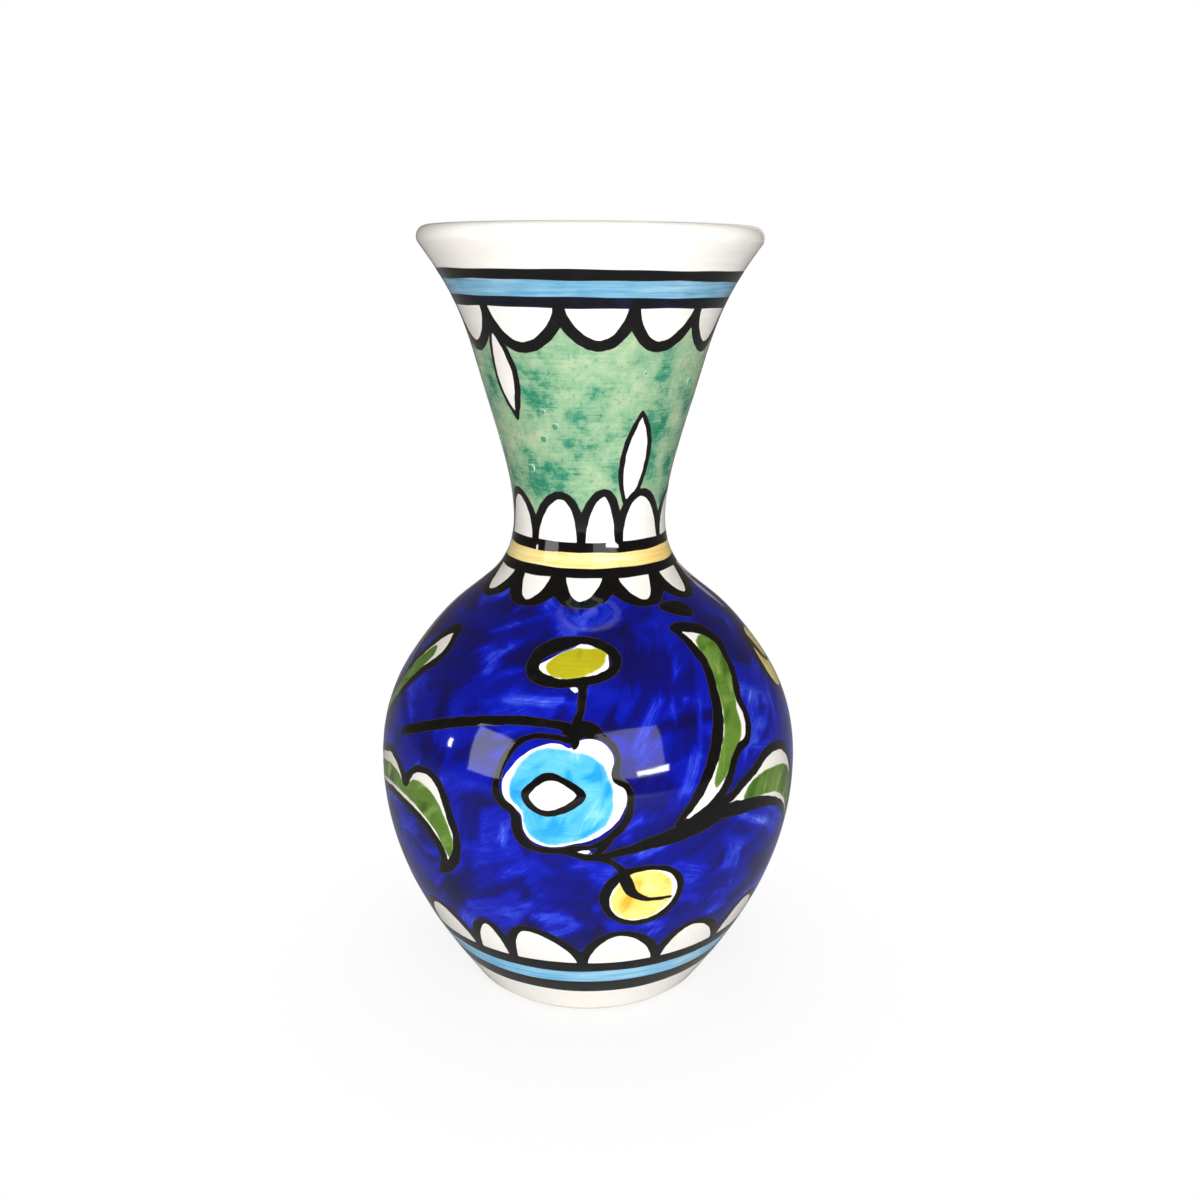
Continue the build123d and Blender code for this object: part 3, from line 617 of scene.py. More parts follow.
# %% Stems and outlines of one spray
STEMS = [
    [(-60, 76.4, 2.2), (-54.4, 78.6, 2.8), (-45.6, 81.6, 2.8), (-35.8, 84.2, 2.7),
     (-26, 85.9, 2.5), (-16.8, 86.7, 2.4), (-8.4, 86.4, 2.2), (-3.4, 85.6, 2.6), (1.6, 84.8, 2.6)],
    [(-1.3, 95, 2.4), (-1.4, 91.6, 2.2), (-1.9, 89, 2), (-2.6, 86.6, 2.8), (-0.8, 85.2, 3.2)],
    [(-5.4, 85.2, 2.4), (-1.6, 85.6, 4.2), (1.4, 85.4, 3.8), (3.8, 84.6, 1.6)],
    [(-3.8, 84.2, 2.8), (-3, 82.8, 2.2), (-3.1, 81.8, 1)],
    [(-9.5, 57.2, 1.4), (-4.6, 57.2, 1.8), (-1, 56, 1.7), (3.6, 55.5, 1.7), (6.4, 54.4, 1.6),
     (9.2, 51.8, 2)],
    [(0, 55.9, 1.4), (5, 56.3, 2), (10, 57.4, 2.4), (15.8, 58.8, 3.2), (22.5, 60, 4.2),
     (29.3, 61.4, 4.2), (36, 63, 3.4), (41, 63.2, 3)],
    [(6.4, 61.6, 2), (4.4, 59, 2.3), (2.6, 56.8, 1.8)],
]  # fmt: skip
BLOT = [(39.2, 108.2, 3.2), (44, 107.8, 4.8), (48.4, 107.2, 5.4), (50, 106.8, 4.6)]
FLOWER = [
    (-4.6, 83.4, 1.8), (-1, 84.3, 1.5), (3.2, 84.4, 1.6), (6.6, 82.4, 1.6), (8, 79.2, 1.6),
    (7.2, 76.6, 2), (7.7, 74.9, 2.3), (10.2, 72.8, 1.7), (10.9, 69.4, 1.9), (9.9, 65.6, 2.2),
    (7.6, 62.5, 2.2), (4.8, 60.2, 1.8), (1.4, 58.7, 1.3), (-2.6, 58.2, 1.8), (-6, 57.4, 1.8),
    (-10, 57.3, 1.7), (-13.2, 57.9, 2), (-15.9, 59.6, 2.6), (-17, 62.2, 2.7),
    (-17.3, 64.6, 2.6), (-18.4, 66.5, 2.2), (-20.8, 67.9, 2.2), (-22.5, 70, 2.2),
    (-22.9, 72.6, 1.9), (-22.1, 75.8, 1.9), (-20.8, 78.8, 2.2), (-18.8, 81.4, 2),
    (-16, 83.2, 1.5), (-12, 83.9, 1.5), (-8, 83.8, 1.5),
]  # fmt: skip
FLOWER_WHITE = [
    (-1.9, 83.2), (0.6, 83.7), (4.1, 82.9), (6.4, 80.7), (6.9, 78.6), (6.3, 76.4), (6.8, 74.6),
    (9, 73.4), (9.9, 71), (9.3, 68.1), (7.5, 65), (4.6, 62.3), (0.6, 60.2), (-2.8, 59.4),
    (-6.8, 58.4), (-10.2, 58.4), (-13.4, 59.6), (-15.2, 61.8), (-15.6, 63.9), (-16.1, 66),
    (-18.6, 67.5), (-20.6, 69.6), (-21.2, 71.8), (-20.9, 73.9), (-18.7, 77.1), (-16.6, 79.3),
    (-13.7, 81.1), (-9.7, 82.4), (-6.8, 82.4), (-4.2, 81.6),
]  # fmt: skip
FLOWER_EYE = [
    (-15.1, 70.4, 2), (-12.8, 73.4, 1.9), (-9.4, 75.3, 1.9), (-4.8, 74.1, 1.6), (-1.2, 71.2, 2.1),
    (-4.4, 68.3, 1.8), (-8.8, 66.6, 1.5), (-12.8, 67.6, 1.6),
]  # fmt: skip
PETALS = [
    (-19.3, 72.3), (-18.5, 74.8), (-17, 77.5), (-14.6, 79.9), (-10.8, 81.4), (-6.2, 81.4),
    (-3, 80.8), (0.6, 80.2), (4.1, 78), (6, 74.4), (6.6, 70.4), (6.2, 67), (4.4, 63.8),
    (0.6, 61.2), (-3.9, 59.6), (-8.5, 58.8), (-11.9, 59.6), (-14.2, 61.5), (-15.3, 63.9),
    (-15.5, 66.2), (-16.8, 67.6), (-18.8, 69.3),
]  # fmt: skip
OLIVE_BUD = [
    (-18.4, 98, 3.2), (-16.6, 100.5, 3.8), (-11.6, 102.1, 4.1), (-6.5, 102.9, 3.2),
    (-2, 103.3, 2.3), (3.5, 102.7, 2.5), (8.4, 101.2, 2.7), (9.9, 99.3, 2.7), (8.3, 97.2, 2.4),
    (4, 95.9, 2.4), (-2, 95.1, 2.4), (-8, 94.7, 2.4), (-14, 95.2, 3.2), (-17.6, 96.3, 3.5),
]  # fmt: skip
OLIVE_WHITE = [
    (-16.3, 98), (-13.1, 99.3), (-9.1, 100.8), (-5.1, 101.7), (-2.2, 102.6), (1.8, 102.4),
    (6.3, 101.5), (7.2, 99.7), (6.4, 97.3), (1.8, 96.3), (-1.7, 95.8), (-5.1, 95.4), (-9.1, 95.4),
    (-12.6, 95.8), (-15.2, 96.8),
]  # fmt: skip
OLIVE_FILL = [
    (-14, 97.9), (-12, 99.6), (-9.1, 100.8), (-5.1, 101.6), (-0.5, 101.7), (5.9, 101.4),
    (6.2, 99.4), (4.1, 97.8), (0.6, 96.7), (-3.9, 95.8), (-9.1, 95.7), (-12, 96.3),
]  # fmt: skip
YELLOW_BUD = [
    (4.6, 44, 2.6), (6, 48.2, 2.8), (9.8, 51.4, 2.2), (15, 52.3, 1.5), (21, 51, 1.7),
    (24.4, 47.4, 2), (24.2, 42.5, 1.8), (21.2, 38.4, 2), (16.2, 36.3, 1.8), (10.5, 36.6, 1.6),
    (6.2, 39.6, 1.8),
]  # fmt: skip
YELLOW_FILL = [
    (6.2, 43.5), (7.8, 47.4), (10.6, 50.9), (14, 51.6), (18.5, 50.9), (21.2, 48.8), (22.4, 45.3),
    (22, 41.8), (19.4, 39), (15.6, 37.3), (11, 37.6), (7.8, 39.8),
]  # fmt: skip
CREASE = [
    (9, 51.4, 2.6), (10.2, 48.4, 3.2), (11.8, 45.4, 2.4), (15.2, 43.4, 1.5), (18.6, 42.9, 1.1),
    (22.2, 42.9, 0.8),
]  # fmt: skip
NICKS = [
    [(-2.8, 58), (0.2, 58.1), (1.6, 56.5), (-0.6, 56.9), (-2.2, 57.4)],
    [(-7.4, 94.1), (-3.6, 94.3), (-2.6, 93), (-3.6, 92.9), (-5, 93.6)],
]

# %% The large leaves: two runs each, and the patch of green inside
TALL_LEAF = [
    [(35.2, 104.2, 1.2), (38.6, 102.4, 2.3), (41.4, 98.6, 2.8), (42.1, 95, 2.7),
     (40.8, 90.6, 2.9), (39.4, 86.2, 3.2), (37, 81.4, 3.5), (34.2, 76.8, 3.3), (31, 72.2, 2.9),
     (27.6, 67.8, 2.5), (22.6, 62.6, 1.5)],
    [(22.6, 62.6, 1.5), (27, 62.6, 2.8), (31.7, 64.8, 2.8), (36.1, 68, 2.7), (38.9, 71.2, 2.5),
     (41.2, 74.9, 2.3), (43.8, 77, 2.3), (47.1, 78.2, 2.2), (49.2, 81, 2.2), (49.9, 84.4, 2.2),
     (49.6, 87.8, 2.3), (51.4, 90.6, 2.4), (53.3, 93.6, 2.4), (53.9, 96.6, 2.7), (54.8, 99.6, 3),
     (51, 102.2, 3.3), (45.5, 103.6, 3.3), (40, 104.2, 3), (35.2, 104.2, 1.2)],
]  # fmt: skip
TALL_GREEN = [
    (43, 100.2), (46.4, 101.7), (50.6, 101.4), (52.8, 99.4), (52.7, 96.8), (52, 93.6),
    (50.2, 90.7), (48.6, 88.2), (47, 85.6), (46.6, 82.4), (45.4, 79.6), (42.8, 77.2),
    (40.2, 74.2), (37, 71.2), (34, 69.3), (33.9, 71.8), (36.4, 76.8), (39.4, 81.4),
    (41.4, 86.2), (42.4, 90.6), (42.9, 95.4),
]  # fmt: skip
WIDE_LEAF = [
    [(31, 63.6, 2.4), (38.9, 66.4, 2.5), (43.7, 68.7, 2.5), (48.5, 70.6, 2.5), (53, 72.6, 2.6),
     (58.2, 73.4, 2.6), (64.6, 72, 2.4), (69.8, 67.4, 2.2), (72.4, 60, 2), (72.4, 53, 1.8),
     (70.4, 48.6, 1.4)],
    [(70.4, 48.6, 1.4), (66.6, 53.4, 2), (62.9, 56.6, 2.1), (58.2, 59, 2.4), (53.3, 60.8, 2.8),
     (47.4, 62, 3.6), (39, 62.8, 3.6), (31, 63.6, 2.6)],
]  # fmt: skip
WIDE_GREEN = [
    (43.3, 64.7), (46, 67.6), (51.4, 68.9), (58.2, 68.4), (63.9, 67.3), (68.6, 64.8), (71.4, 60),
    (71.4, 53.8), (69.8, 50.9), (67.4, 55.2), (63.6, 58.6), (58.2, 61.6), (51.4, 63),
    (46.4, 63.6),
]  # fmt: skip
LOW_LEAF = [
    [(-98, 58.4, 2.2), (-89, 61.8, 2.2), (-80, 65.4, 2.2), (-72.6, 68.2, 2.1), (-66, 69.9, 2),
     (-60.4, 68.8, 2), (-57.2, 67, 2.4), (-55, 65, 3), (-52.9, 67.4, 2.3),
     (-49.6, 69.8, 1.9), (-45.2, 70.5, 1.8), (-40.8, 68.9, 2.3), (-38.2, 65.6, 2.5),
     (-36.2, 61.2, 2.7), (-34.5, 56.6, 2.4), (-34.9, 51.6, 2.7), (-37.4, 47.6, 3),
     (-42.2, 44.2, 1.5)],
    [(-42.2, 44.2, 1.5), (-39.9, 48.4, 2.7), (-41, 52, 2.7), (-44.4, 55.4, 2.6),
     (-49.4, 57.8, 2.5), (-56, 59.2, 2.3), (-65, 59.4, 2.1), (-74, 57.6, 2),
     (-86, 56.8, 2), (-98, 58.4, 1.8)],
]  # fmt: skip
LOW_GREEN = [
    (-88, 60.6), (-80, 62.8), (-72, 65), (-65.2, 66.3), (-59, 65.8), (-55.2, 63.4),
    (-52.6, 65.6), (-50, 66.9), (-45.6, 66.7), (-41.2, 64.6), (-38.1, 60.4), (-36, 56),
    (-36, 52.4), (-37.4, 49.6), (-39, 51.6), (-42.4, 56.2), (-48.6, 59.8), (-55.4, 61.3),
    (-65.2, 61.4), (-76, 59.6),
]  # fmt: skip
HIGH_LEAF = [
    [(-97, 60, 1.8), (-88, 70.4, 2.2), (-80.6, 81.2, 2.4), (-73.7, 92, 2.6), (-67.4, 98, 2.8),
     (-62, 101, 3.2), (-58.2, 101, 3)],
    [(-58.2, 101, 3), (-56.8, 97.4, 2.4), (-59, 94, 2.5), (-64.2, 90.2, 2.6),
     (-70.5, 84.2, 2.4), (-77.5, 76.2, 2.3), (-86, 66.8, 2.2), (-97, 60, 1.8)],
]  # fmt: skip
HIGH_GREEN = [
    (-88, 69.4), (-80.5, 79.4), (-74, 89.2), (-69, 94.4), (-65.2, 96.4), (-62.9, 94.8),
    (-64.8, 91.6), (-70, 86), (-76.6, 78.4), (-84, 70.2),
]  # fmt: skip

# Where the sprays stand, and two buds that stand alone: degrees further round, millimetres higher.
SPRAYS = [(0, 0.0), (180, -0.8)]
BUD_PLACES = [*SPRAYS, (69, 46.0), (249, 45.0)]


# %% Place both sprays
def placed(shapes, closed=False, places=SPRAYS):
    """Smooth lines through these shapes, once for each place."""
    return [smooth(turned(points, *place), closed) for points in shapes for place in places]


stems = placed([*STEMS, BLOT])
flowers, eyes = placed([FLOWER], True), placed([FLOWER_EYE], True)
petals = placed([PETALS], True)
olive_buds, olive_fills = placed([OLIVE_BUD], True), placed([OLIVE_FILL], True)
whites = placed([FLOWER_WHITE, OLIVE_WHITE, *NICKS], True)
yellow_buds = placed([YELLOW_BUD], True, BUD_PLACES)
yellow_fills = placed([YELLOW_FILL], True, BUD_PLACES)
creases = placed([CREASE], False, BUD_PLACES)
greens = placed([TALL_GREEN, WIDE_GREEN, LOW_GREEN, HIGH_GREEN], True)
leaves = [
    joined(*[turned(run, *place) for run in leaf])
    for leaf in (TALL_LEAF, WIDE_LEAF, LOW_LEAF, HIGH_LEAF)
    for place in SPRAYS
]
buds = olive_buds + yellow_buds + creases
drawing = {"stem_lines": stems, "flower_lines": flowers, "flower_eyes": eyes, "bud_lines": buds}
for name, lines in drawing.items():
    pieces[name] = drawn(name, lines)
pieces["leaf_lines"] = drawn("leaf_lines", leaves, 0.14)


# %% [markdown]
# ## Colour, stroke by stroke
# The painter fills the ground with short loaded strokes. Where a stroke is thin the white glaze
# shines through and the blue is pale, and where two overlap it is nearly black. So each filled
# shape gets its own set of strokes, laid over one another from a seeded list. Every place then
# remembers three things about the stroke on top: its *tone*, from thin to thick, and where the
# place lies *across* and *along* that stroke, for the bristle marks.


# %% Lay brush strokes over a patch
def brushed(patch, count, length, width, lean, seed, spread=0.6, tones=(0.0, 1.0), last=()):
    """Store tone, across and along for overlapping strokes that lie at about this lean."""
    chance = np.random.default_rng(seed)
    tone = np.full(patch.a.shape, sum(tones) / 2)
    across, along = patch.z, np.zeros(patch.a.shape)
    wide = np.radians(1) * radius(patch.z)[0]
    strokes = []
    for _ in range(count):
        spot = [chance.uniform(side.min(), side.max()) for side in (patch.a, patch.z)]
        size = length * chance.uniform(0.6, 1.4), width * chance.uniform(0.6, 1.3)
        strokes.append((*spot, *size, lean + chance.normal(0, spread), chance.uniform(*tones)))
    for number, (a0, z0, long, broad, angle, level) in enumerate([*strokes, *last]):
        bend = 0.012 * math.sin(number * 2.3)
        x = ((patch.a - a0 + 180) % 360 - 180) * wide
        y = patch.z - z0
        u = x * math.cos(angle) + y * math.sin(angle)
        v = -x * math.sin(angle) + y * math.cos(angle) + bend * u * u
        ragged = 0.35 * np.sin(v * 2.3 + number) + 0.25 * np.sin(v * 5.1 - number)
        cover = np.clip((broad / 2 - np.abs(v)) / 1.1, 0, 1)
        cover *= 0.85 * np.clip((long / 2 - np.abs(u) + 2 * ragged) / 2.5, 0, 1)
        rim = 0.10 * np.clip(1 - (broad / 2 - np.abs(v)) / 1.4, 0, 1)
        tone = tone * (1 - cover) + (level + rim - 0.12 * u / long) * cover
        across = np.where(cover > 0.35, v + 13.7 * number, across)
        along = np.where(cover > 0.35, u, along)
    patch.shades = {"tone": np.clip(tone, 0, 1), "across": across, "along": along}
    return patch


def filled(name, shapes, lean, seed, cell=0.45, size=0.12, strokes=(26, 9, 3.2), holes=(), **more):
    """Patches of colour inside closed lines, laid with strokes, as one piece."""
    patches = []
    for number, line in enumerate(shapes):
        patch = patch_round([line], cell)
        patch.depth = patch.fill(line) + tremble(patch.a, patch.z, size)
        for hole in holes:
            patch.depth = np.maximum(patch.depth, -patch.fill(hole))
        patches.append(brushed(patch, *strokes, lean, seed + number, **more))
    return coat(name + "_paint", patches, *FILL)


# %% Petals, leaves and buds
pieces["flower_petals"] = filled(
    "flower_petals", petals, 0.3, 11, spread=1.2, strokes=(40, 9, 3.6), holes=eyes
)
pieces["leaf_greens"] = filled("leaf_greens", greens, 0.9, 23, spread=0.5, strokes=(40, 10, 3.0))
pieces["olive_bud_fills"] = filled("olive_bud_fills", olive_fills, 1.2, 37, strokes=(12, 6, 3.0))
pieces["yellow_bud_fills"] = filled("yellow_bud_fills", yellow_fills, 0.6, 41, strokes=(24, 7, 3.0))


# %% The cobalt and the green grounds
def ground(name, low, high, holes, cell, strokes, seed, **more):
    """A ring of colour with holes where the drawing is, its edges hidden under the black lines."""
    ring = patch_ring(low, high, cell)
    ring.depth = np.maximum(low + cell - ring.z, ring.z - high + cell)
    for line in holes:
        ring.depth = np.maximum(ring.depth, -ring.fill(line))
    brushed(ring, *strokes, 0.35, seed, **more)
    return coat(name + "_paint", [ring], *GROUND)


def closed_lobes(name):
    """Each scallop of a row, closed off under its band."""
    base, depth = ROWS[name][1:3]
    beyond = base - math.copysign(4, depth)
    lobes = []
    for line in rows[name]:
        ends = [(line[-1][0], beyond, 1), (line[0][0], beyond, 1)]
        lobes.append(np.vstack([line, ends]))
    return lobes


neck_holes = closed_lobes("neck_hanging_scallops") + closed_lobes("neck_standing_scallops")
belly_holes = closed_lobes("shoulder_scallops") + closed_lobes("foot_scallops")
belly_holes += whites + yellow_buds + leaves
pieces["green_ground"] = ground(
    "green_ground", 122.5, 182.5, neck_holes + neck_leaves, 0.7, (500, 9, 6), 5, spread=1.6
)

# The strokes that show most: azimuth, height, length, width, lean and tone.
LAST_STROKES = [
    (8, 101, 16, 11, 0.2, 0.08), (20, 97, 12, 14, 1.3, 0.12), (58, 100, 16, 12, -0.5, 0.14),
    (-44, 74, 10, 9, 1.3, 0.16), (-30, 62, 14, 7, 1.5, 0.2), (16, 70, 12, 10, 1.2, 0.2),
    (-48, 97, 12, 10, 0.5, 0.18), (-4, 46, 14, 12, 0.3, 0.25), (36, 44, 14, 7, -0.2, 0.3),
    (-36, 104, 9, 1.8, 0.35, 0.86), (-27, 106, 13, 1.7, 0.3, 0.82), (-40, 99.5, 8, 1.6, 0.4, 0.8),
    (-31, 100, 10, 1.6, 0.35, 0.88), (-25, 96, 11, 1.8, 0.25, 0.84), (-36, 94, 7, 1.5, 0.3, 0.78),
    (-20, 90.6, 12, 2.6, 0.1, 0.9), (-10, 91, 9, 3.2, 0.1, 0.94), (-29, 89.6, 9, 1.6, 0.2, 0.8),
    (48, 57.6, 17, 3.6, -0.45, 0.92), (57, 53, 14, 4, -0.7, 0.84), (42, 53.4, 12, 4, -0.4, 0.74),
    (27, 74, 14, 4.4, 1.1, 0.84), (32, 84, 15, 2.2, 1.25, 0.8), (25, 88.6, 7, 2.6, 1.4, 0.78),
    (-20.5, 60, 8, 3.4, 1.3, 0.9), (-9, 37.6, 9, 4.2, 0.6, 0.84), (-17, 40, 11, 3, 0.5, 0.72),
    (20, 33, 8, 4, 0.9, 0.8), (40, 34.4, 9, 3.6, 0.2, 0.8), (-44, 41, 10, 2.4, 0.8, 0.74),
    (-55, 53, 12, 6, 0.2, 0.76), (46, 76, 8, 3, 0.9, 0.84), (57, 84, 10, 2.2, 0.8, 0.76),
]  # fmt: skip
pieces["cobalt_ground"] = ground(
    "cobalt_ground", 20.6, 116.6, belly_holes, 0.8, (1500, 20, 6.0), 7,
    spread=0.5, tones=(0.05, 0.84),
    last=[stroke for place in SPRAYS for stroke in turned(LAST_STROKES, *place)],
)  # fmt: skip

# %% Bubbles that burst out of the green while it was fired: azimuth, height and radius
chance = np.random.default_rng(9)
BUBBLES = [(-19, 153, 0.9), (-25, 156.5, 0.7), (-27, 149.7, 0.9), (-40, 142, 1.1), (28, 166, 0.5)]
LIMITS = ((60, 320), (140, 168), (0.4, 1))
BUBBLES += [[chance.uniform(*limits) for limits in LIMITS] for _ in range(16)]
CLEAR = 0.5  # a bubble keeps this many millimetres away from the leaves, which have no green
turns = np.linspace(0, 2 * math.pi, 25)[:-1]
blisters = []
for azimuth, z, size in BUBBLES:
    reach = math.degrees(size / float(radius(z)[0]))
    rim = np.stack([azimuth + reach * np.cos(turns), z + size * np.sin(turns)], 1)
    patch = patch_round([rim], 0.2, 0.8)
    patch.depth = patch.fill(rim) + tremble(patch.a * 3, patch.z * 3, 0.1)
    if min(patch.fill(leaf).min() for leaf in neck_leaves) > CLEAR:
        blisters.append(patch)
bubbles = coat("neck_glaze_bubbles", blisters, 0.01, 0.3, 0.6)

pieces["clay_body"] = clay_body
pieces["inner_glaze"] = inner_glaze
pieces["outer_glaze"] = outer_glaze

# %% [markdown]
# ## Finishes
# Everything but the foot is glazed, so every finish shares the same gloss: a smooth Principled
# BSDF with a faint ripple. The colours differ in how the pigment was put on. The marks of the
# brush, the wheel and the sponge are node groups, each built once and placed in every material
# that needs it.


# %% Small helpers for nodes
def linear(*rgb):
    """A colour as seen on a screen, 0 to 255, as the linear values that a shader wants."""
    dark = [c / 255 / 12.92 for c in rgb]
    light = [((c / 255 + 0.055) / 1.055) ** 2.4 for c in rgb]
    return *(d if c <= 10 else e for c, d, e in zip(rgb, dark, light)), 1.0


def node(tree, kind, inputs=None, **settings):
    """Add a node, set its properties, and set or link its inputs by name or number."""
    made = tree.nodes.new(kind)
    for key, value in settings.items():
        setattr(made, key, value)
    for key, value in (inputs or {}).items():
        if isinstance(value, bpy.types.NodeSocket):
            wire(value, made.inputs[key])
        else:
            made.inputs[key].default_value = value
    return made


def tree_of(values):
    """The node tree that these values belong to. A socket knows its tree, a number doesn't."""
    return next(value.id_data for value in values if isinstance(value, bpy.types.NodeSocket))


def wire(value, socket):
    """Link an output, or a value worked out by other nodes, to an input."""
    socket.id_data.links.new(value, socket)


def calc(operation, *values, clamp=False):
    """A Math node's output."""
    inputs = dict(enumerate(values))
    made = node(tree_of(values), "ShaderNodeMath", inputs, operation=operation, use_clamp=clamp)
    return made.outputs[0]


def noise(vector, scale, detail=3.0, rough=0.5):
    """Plain noise from 0 to 1, its middle at a half."""
    inputs = {"Vector": vector, "Scale": scale, "Detail": detail, "Roughness": rough}
    return node(vector.id_data, "ShaderNodeTexNoise", inputs).outputs["Fac"]


def stretched(vector, x, y, z):
    """A vector scaled along each axis."""
    inputs = {0: vector, 1: (x, y, z)}
    return node(vector.id_data, "ShaderNodeVectorMath", inputs, operation="MULTIPLY").outputs[0]


def between(value, low, high):
    """Where a value stands between two limits, from 0 to 1, with soft ends."""
    inputs = {"Value": value, "From Min": low, "From Max": high}
    made = node(value.id_data, "ShaderNodeMapRange", inputs, interpolation_type="SMOOTHSTEP")
    return made.outputs["Result"]


def new_group(name, inputs, outputs):
    """A node group with named inputs, given as (name, kind, value), and named outputs."""
    tree = bpy.data.node_groups.new(name, "ShaderNodeTree")
    for label, kind, value in inputs:
        socket = tree.interface.new_socket(name=label, in_out="INPUT", socket_type=kind)
        if value is not None:
            socket.default_value = value
    for label, kind in outputs:
        tree.interface.new_socket(name=label, in_out="OUTPUT", socket_type=kind)
    return tree, node(tree, "NodeGroupInput").outputs, node(tree, "NodeGroupOutput").inputs


def place(group, **inputs):
    """Place a node group where its inputs come from, and give its outputs."""
    made = {key.replace("_", " "): value for key, value in inputs.items()}
    return node(tree_of(made.values()), "ShaderNodeGroup", made, node_tree=group).outputs


FLOAT, VECTOR = "NodeSocketFloat", "NodeSocketVector"

# %% Node group: bristle marks
marks, ins, outs = new_group(
    "Bristle marks",
    [("Tone", FLOAT, 0.5), ("Across", FLOAT, 0.0), ("Along", FLOAT, 0.0), ("Position", VECTOR, None),
     ("Bristle", FLOAT, 0.5), ("Strength", FLOAT, 0.4), ("Pooling", FLOAT, 0.2)],
    [("Tone", FLOAT)],
)  # fmt: skip
u = calc("DIVIDE", ins["Across"], ins["Bristle"])
v = calc("DIVIDE", ins["Along"], calc("MULTIPLY", ins["Bristle"], 16.0))
lines = noise(node(u.id_data, "ShaderNodeCombineXYZ", {"X": u, "Y": v}).outputs[0], 1.0, 4.0, 0.6)
pools = noise(ins["Position"], 0.16, 4.0, 0.6)
mixed = calc("MULTIPLY_ADD", calc("SUBTRACT", lines, 0.5), ins["Strength"], ins["Tone"])
mixed = calc("MULTIPLY_ADD", calc("SUBTRACT", pools, 0.5), ins["Pooling"], mixed)
wire(calc("MAXIMUM", mixed, 0.0, clamp=True), outs["Tone"])

# %% Node group: wheel streaks
wheel, ins, outs = new_group(
    "Wheel streaks",
    [("Position", VECTOR, None), ("Fineness", FLOAT, 2.2), ("Contrast", FLOAT, 1.0)],
    [("Tone", FLOAT)],
)
streaks = noise(stretched(ins["Position"], 0.035, 0.035, 1.0), ins["Fineness"], 4.0, 0.6)
patches = noise(stretched(ins["Position"], 0.08, 0.08, 0.16), 1.0, 2.0)
mixed = calc("ADD", calc("MULTIPLY", streaks, 0.6), calc("MULTIPLY", patches, 0.4))
mixed = calc("MULTIPLY_ADD", calc("SUBTRACT", mixed, 0.5), ins["Contrast"], 0.5)
wire(calc("MAXIMUM", mixed, 0.0, clamp=True), outs["Tone"])

# %% Node group: thin edge
thin_edge, ins, outs = new_group(
    "Thin edge",
    [("Edge", FLOAT, 1.0), ("Width", FLOAT, 0.3), ("Position", VECTOR, None)],
    [("Thin", FLOAT)],
)
ragged = calc("MULTIPLY", noise(ins["Position"], 0.9, 3.0), 1.9)
reach = calc("MULTIPLY", ins["Width"], ragged)
share = calc("DIVIDE", ins["Edge"], calc("MAXIMUM", reach, 0.01))
wire(calc("SUBTRACT", 1.0, share, clamp=True), outs["Thin"])

# %% Node group: glaze skin
skin, ins, outs = new_group(
    "Glaze skin",
    [("Position", VECTOR, None), ("Ripple", FLOAT, 1.0), ("Pinholes", FLOAT, 0.3)],
    [("Height", FLOAT), ("Roughness", FLOAT)],
)
throwing = noise(stretched(ins["Position"], 0.012, 0.012, 0.22), 1.0, 2.0)
swell = noise(ins["Position"], 0.09, 2.0)
orange = noise(ins["Position"], 0.55, 2.0)
tree = orange.id_data
cells = node(tree, "ShaderNodeTexVoronoi", {"Vector": ins["Position"], "Scale": 0.13}).outputs
hole = between(cells["Distance"], 0.045, 0.02)
lot = node(tree, "ShaderNodeSeparateColor", {0: cells["Color"]}).outputs[0]
rare = calc("GREATER_THAN", lot, 0.55)
hole = calc("MULTIPLY", calc("MULTIPLY", hole, rare), ins["Pinholes"])
height = calc("ADD", calc("MULTIPLY", throwing, 0.5), calc("MULTIPLY", swell, 0.6))
height = calc("MULTIPLY_ADD", orange, 0.05, height)
height = calc("MULTIPLY", height, ins["Ripple"])
wire(calc("SUBTRACT", height, calc("MULTIPLY", hole, 0.6)), outs["Height"])
wire(calc("MULTIPLY_ADD", orange, 0.06, 0.03), outs["Roughness"])

# %% Node group: sponge blots
sponge, ins, outs = new_group(
    "Sponge blots",
    [("Position", VECTOR, None), ("Blot size", FLOAT, 5.0), ("Contrast", FLOAT, 1.0)],
    [("Tone", FLOAT), ("Specks", FLOAT)],
)
size = calc("DIVIDE", 1.0, ins["Blot size"])
clouds = noise(ins["Position"], calc("MULTIPLY", size, 0.45), 3.0)
blots = noise(ins["Position"], size, 8.0, 0.74)
drag = noise(stretched(ins["Position"], 0.12, 0.12, 2.4), 1.0, 3.0)
mixed = calc("ADD", calc("MULTIPLY", clouds, 0.42), calc("MULTIPLY", blots, 0.46))
mixed = calc("MULTIPLY_ADD", drag, 0.12, mixed)
mixed = calc("MULTIPLY_ADD", calc("SUBTRACT", mixed, 0.5), ins["Contrast"], 0.5)
wire(calc("MAXIMUM", mixed, 0.0, clamp=True), outs["Tone"])
fine = noise(ins["Position"], calc("MULTIPLY", size, 5.0), 2.0)
wire(between(fine, 0.60, 0.70), outs["Specks"])
print("node groups:", [g.name for g in bpy.data.node_groups])

# %% [markdown]
# A material starts with the gloss of the glaze and its skin, then gets its own colour. Positions
# are in millimetres, so that every size in the groups can be read as a real size.


# %% A glossy material to build on
GLAZE_IOR = 1.5


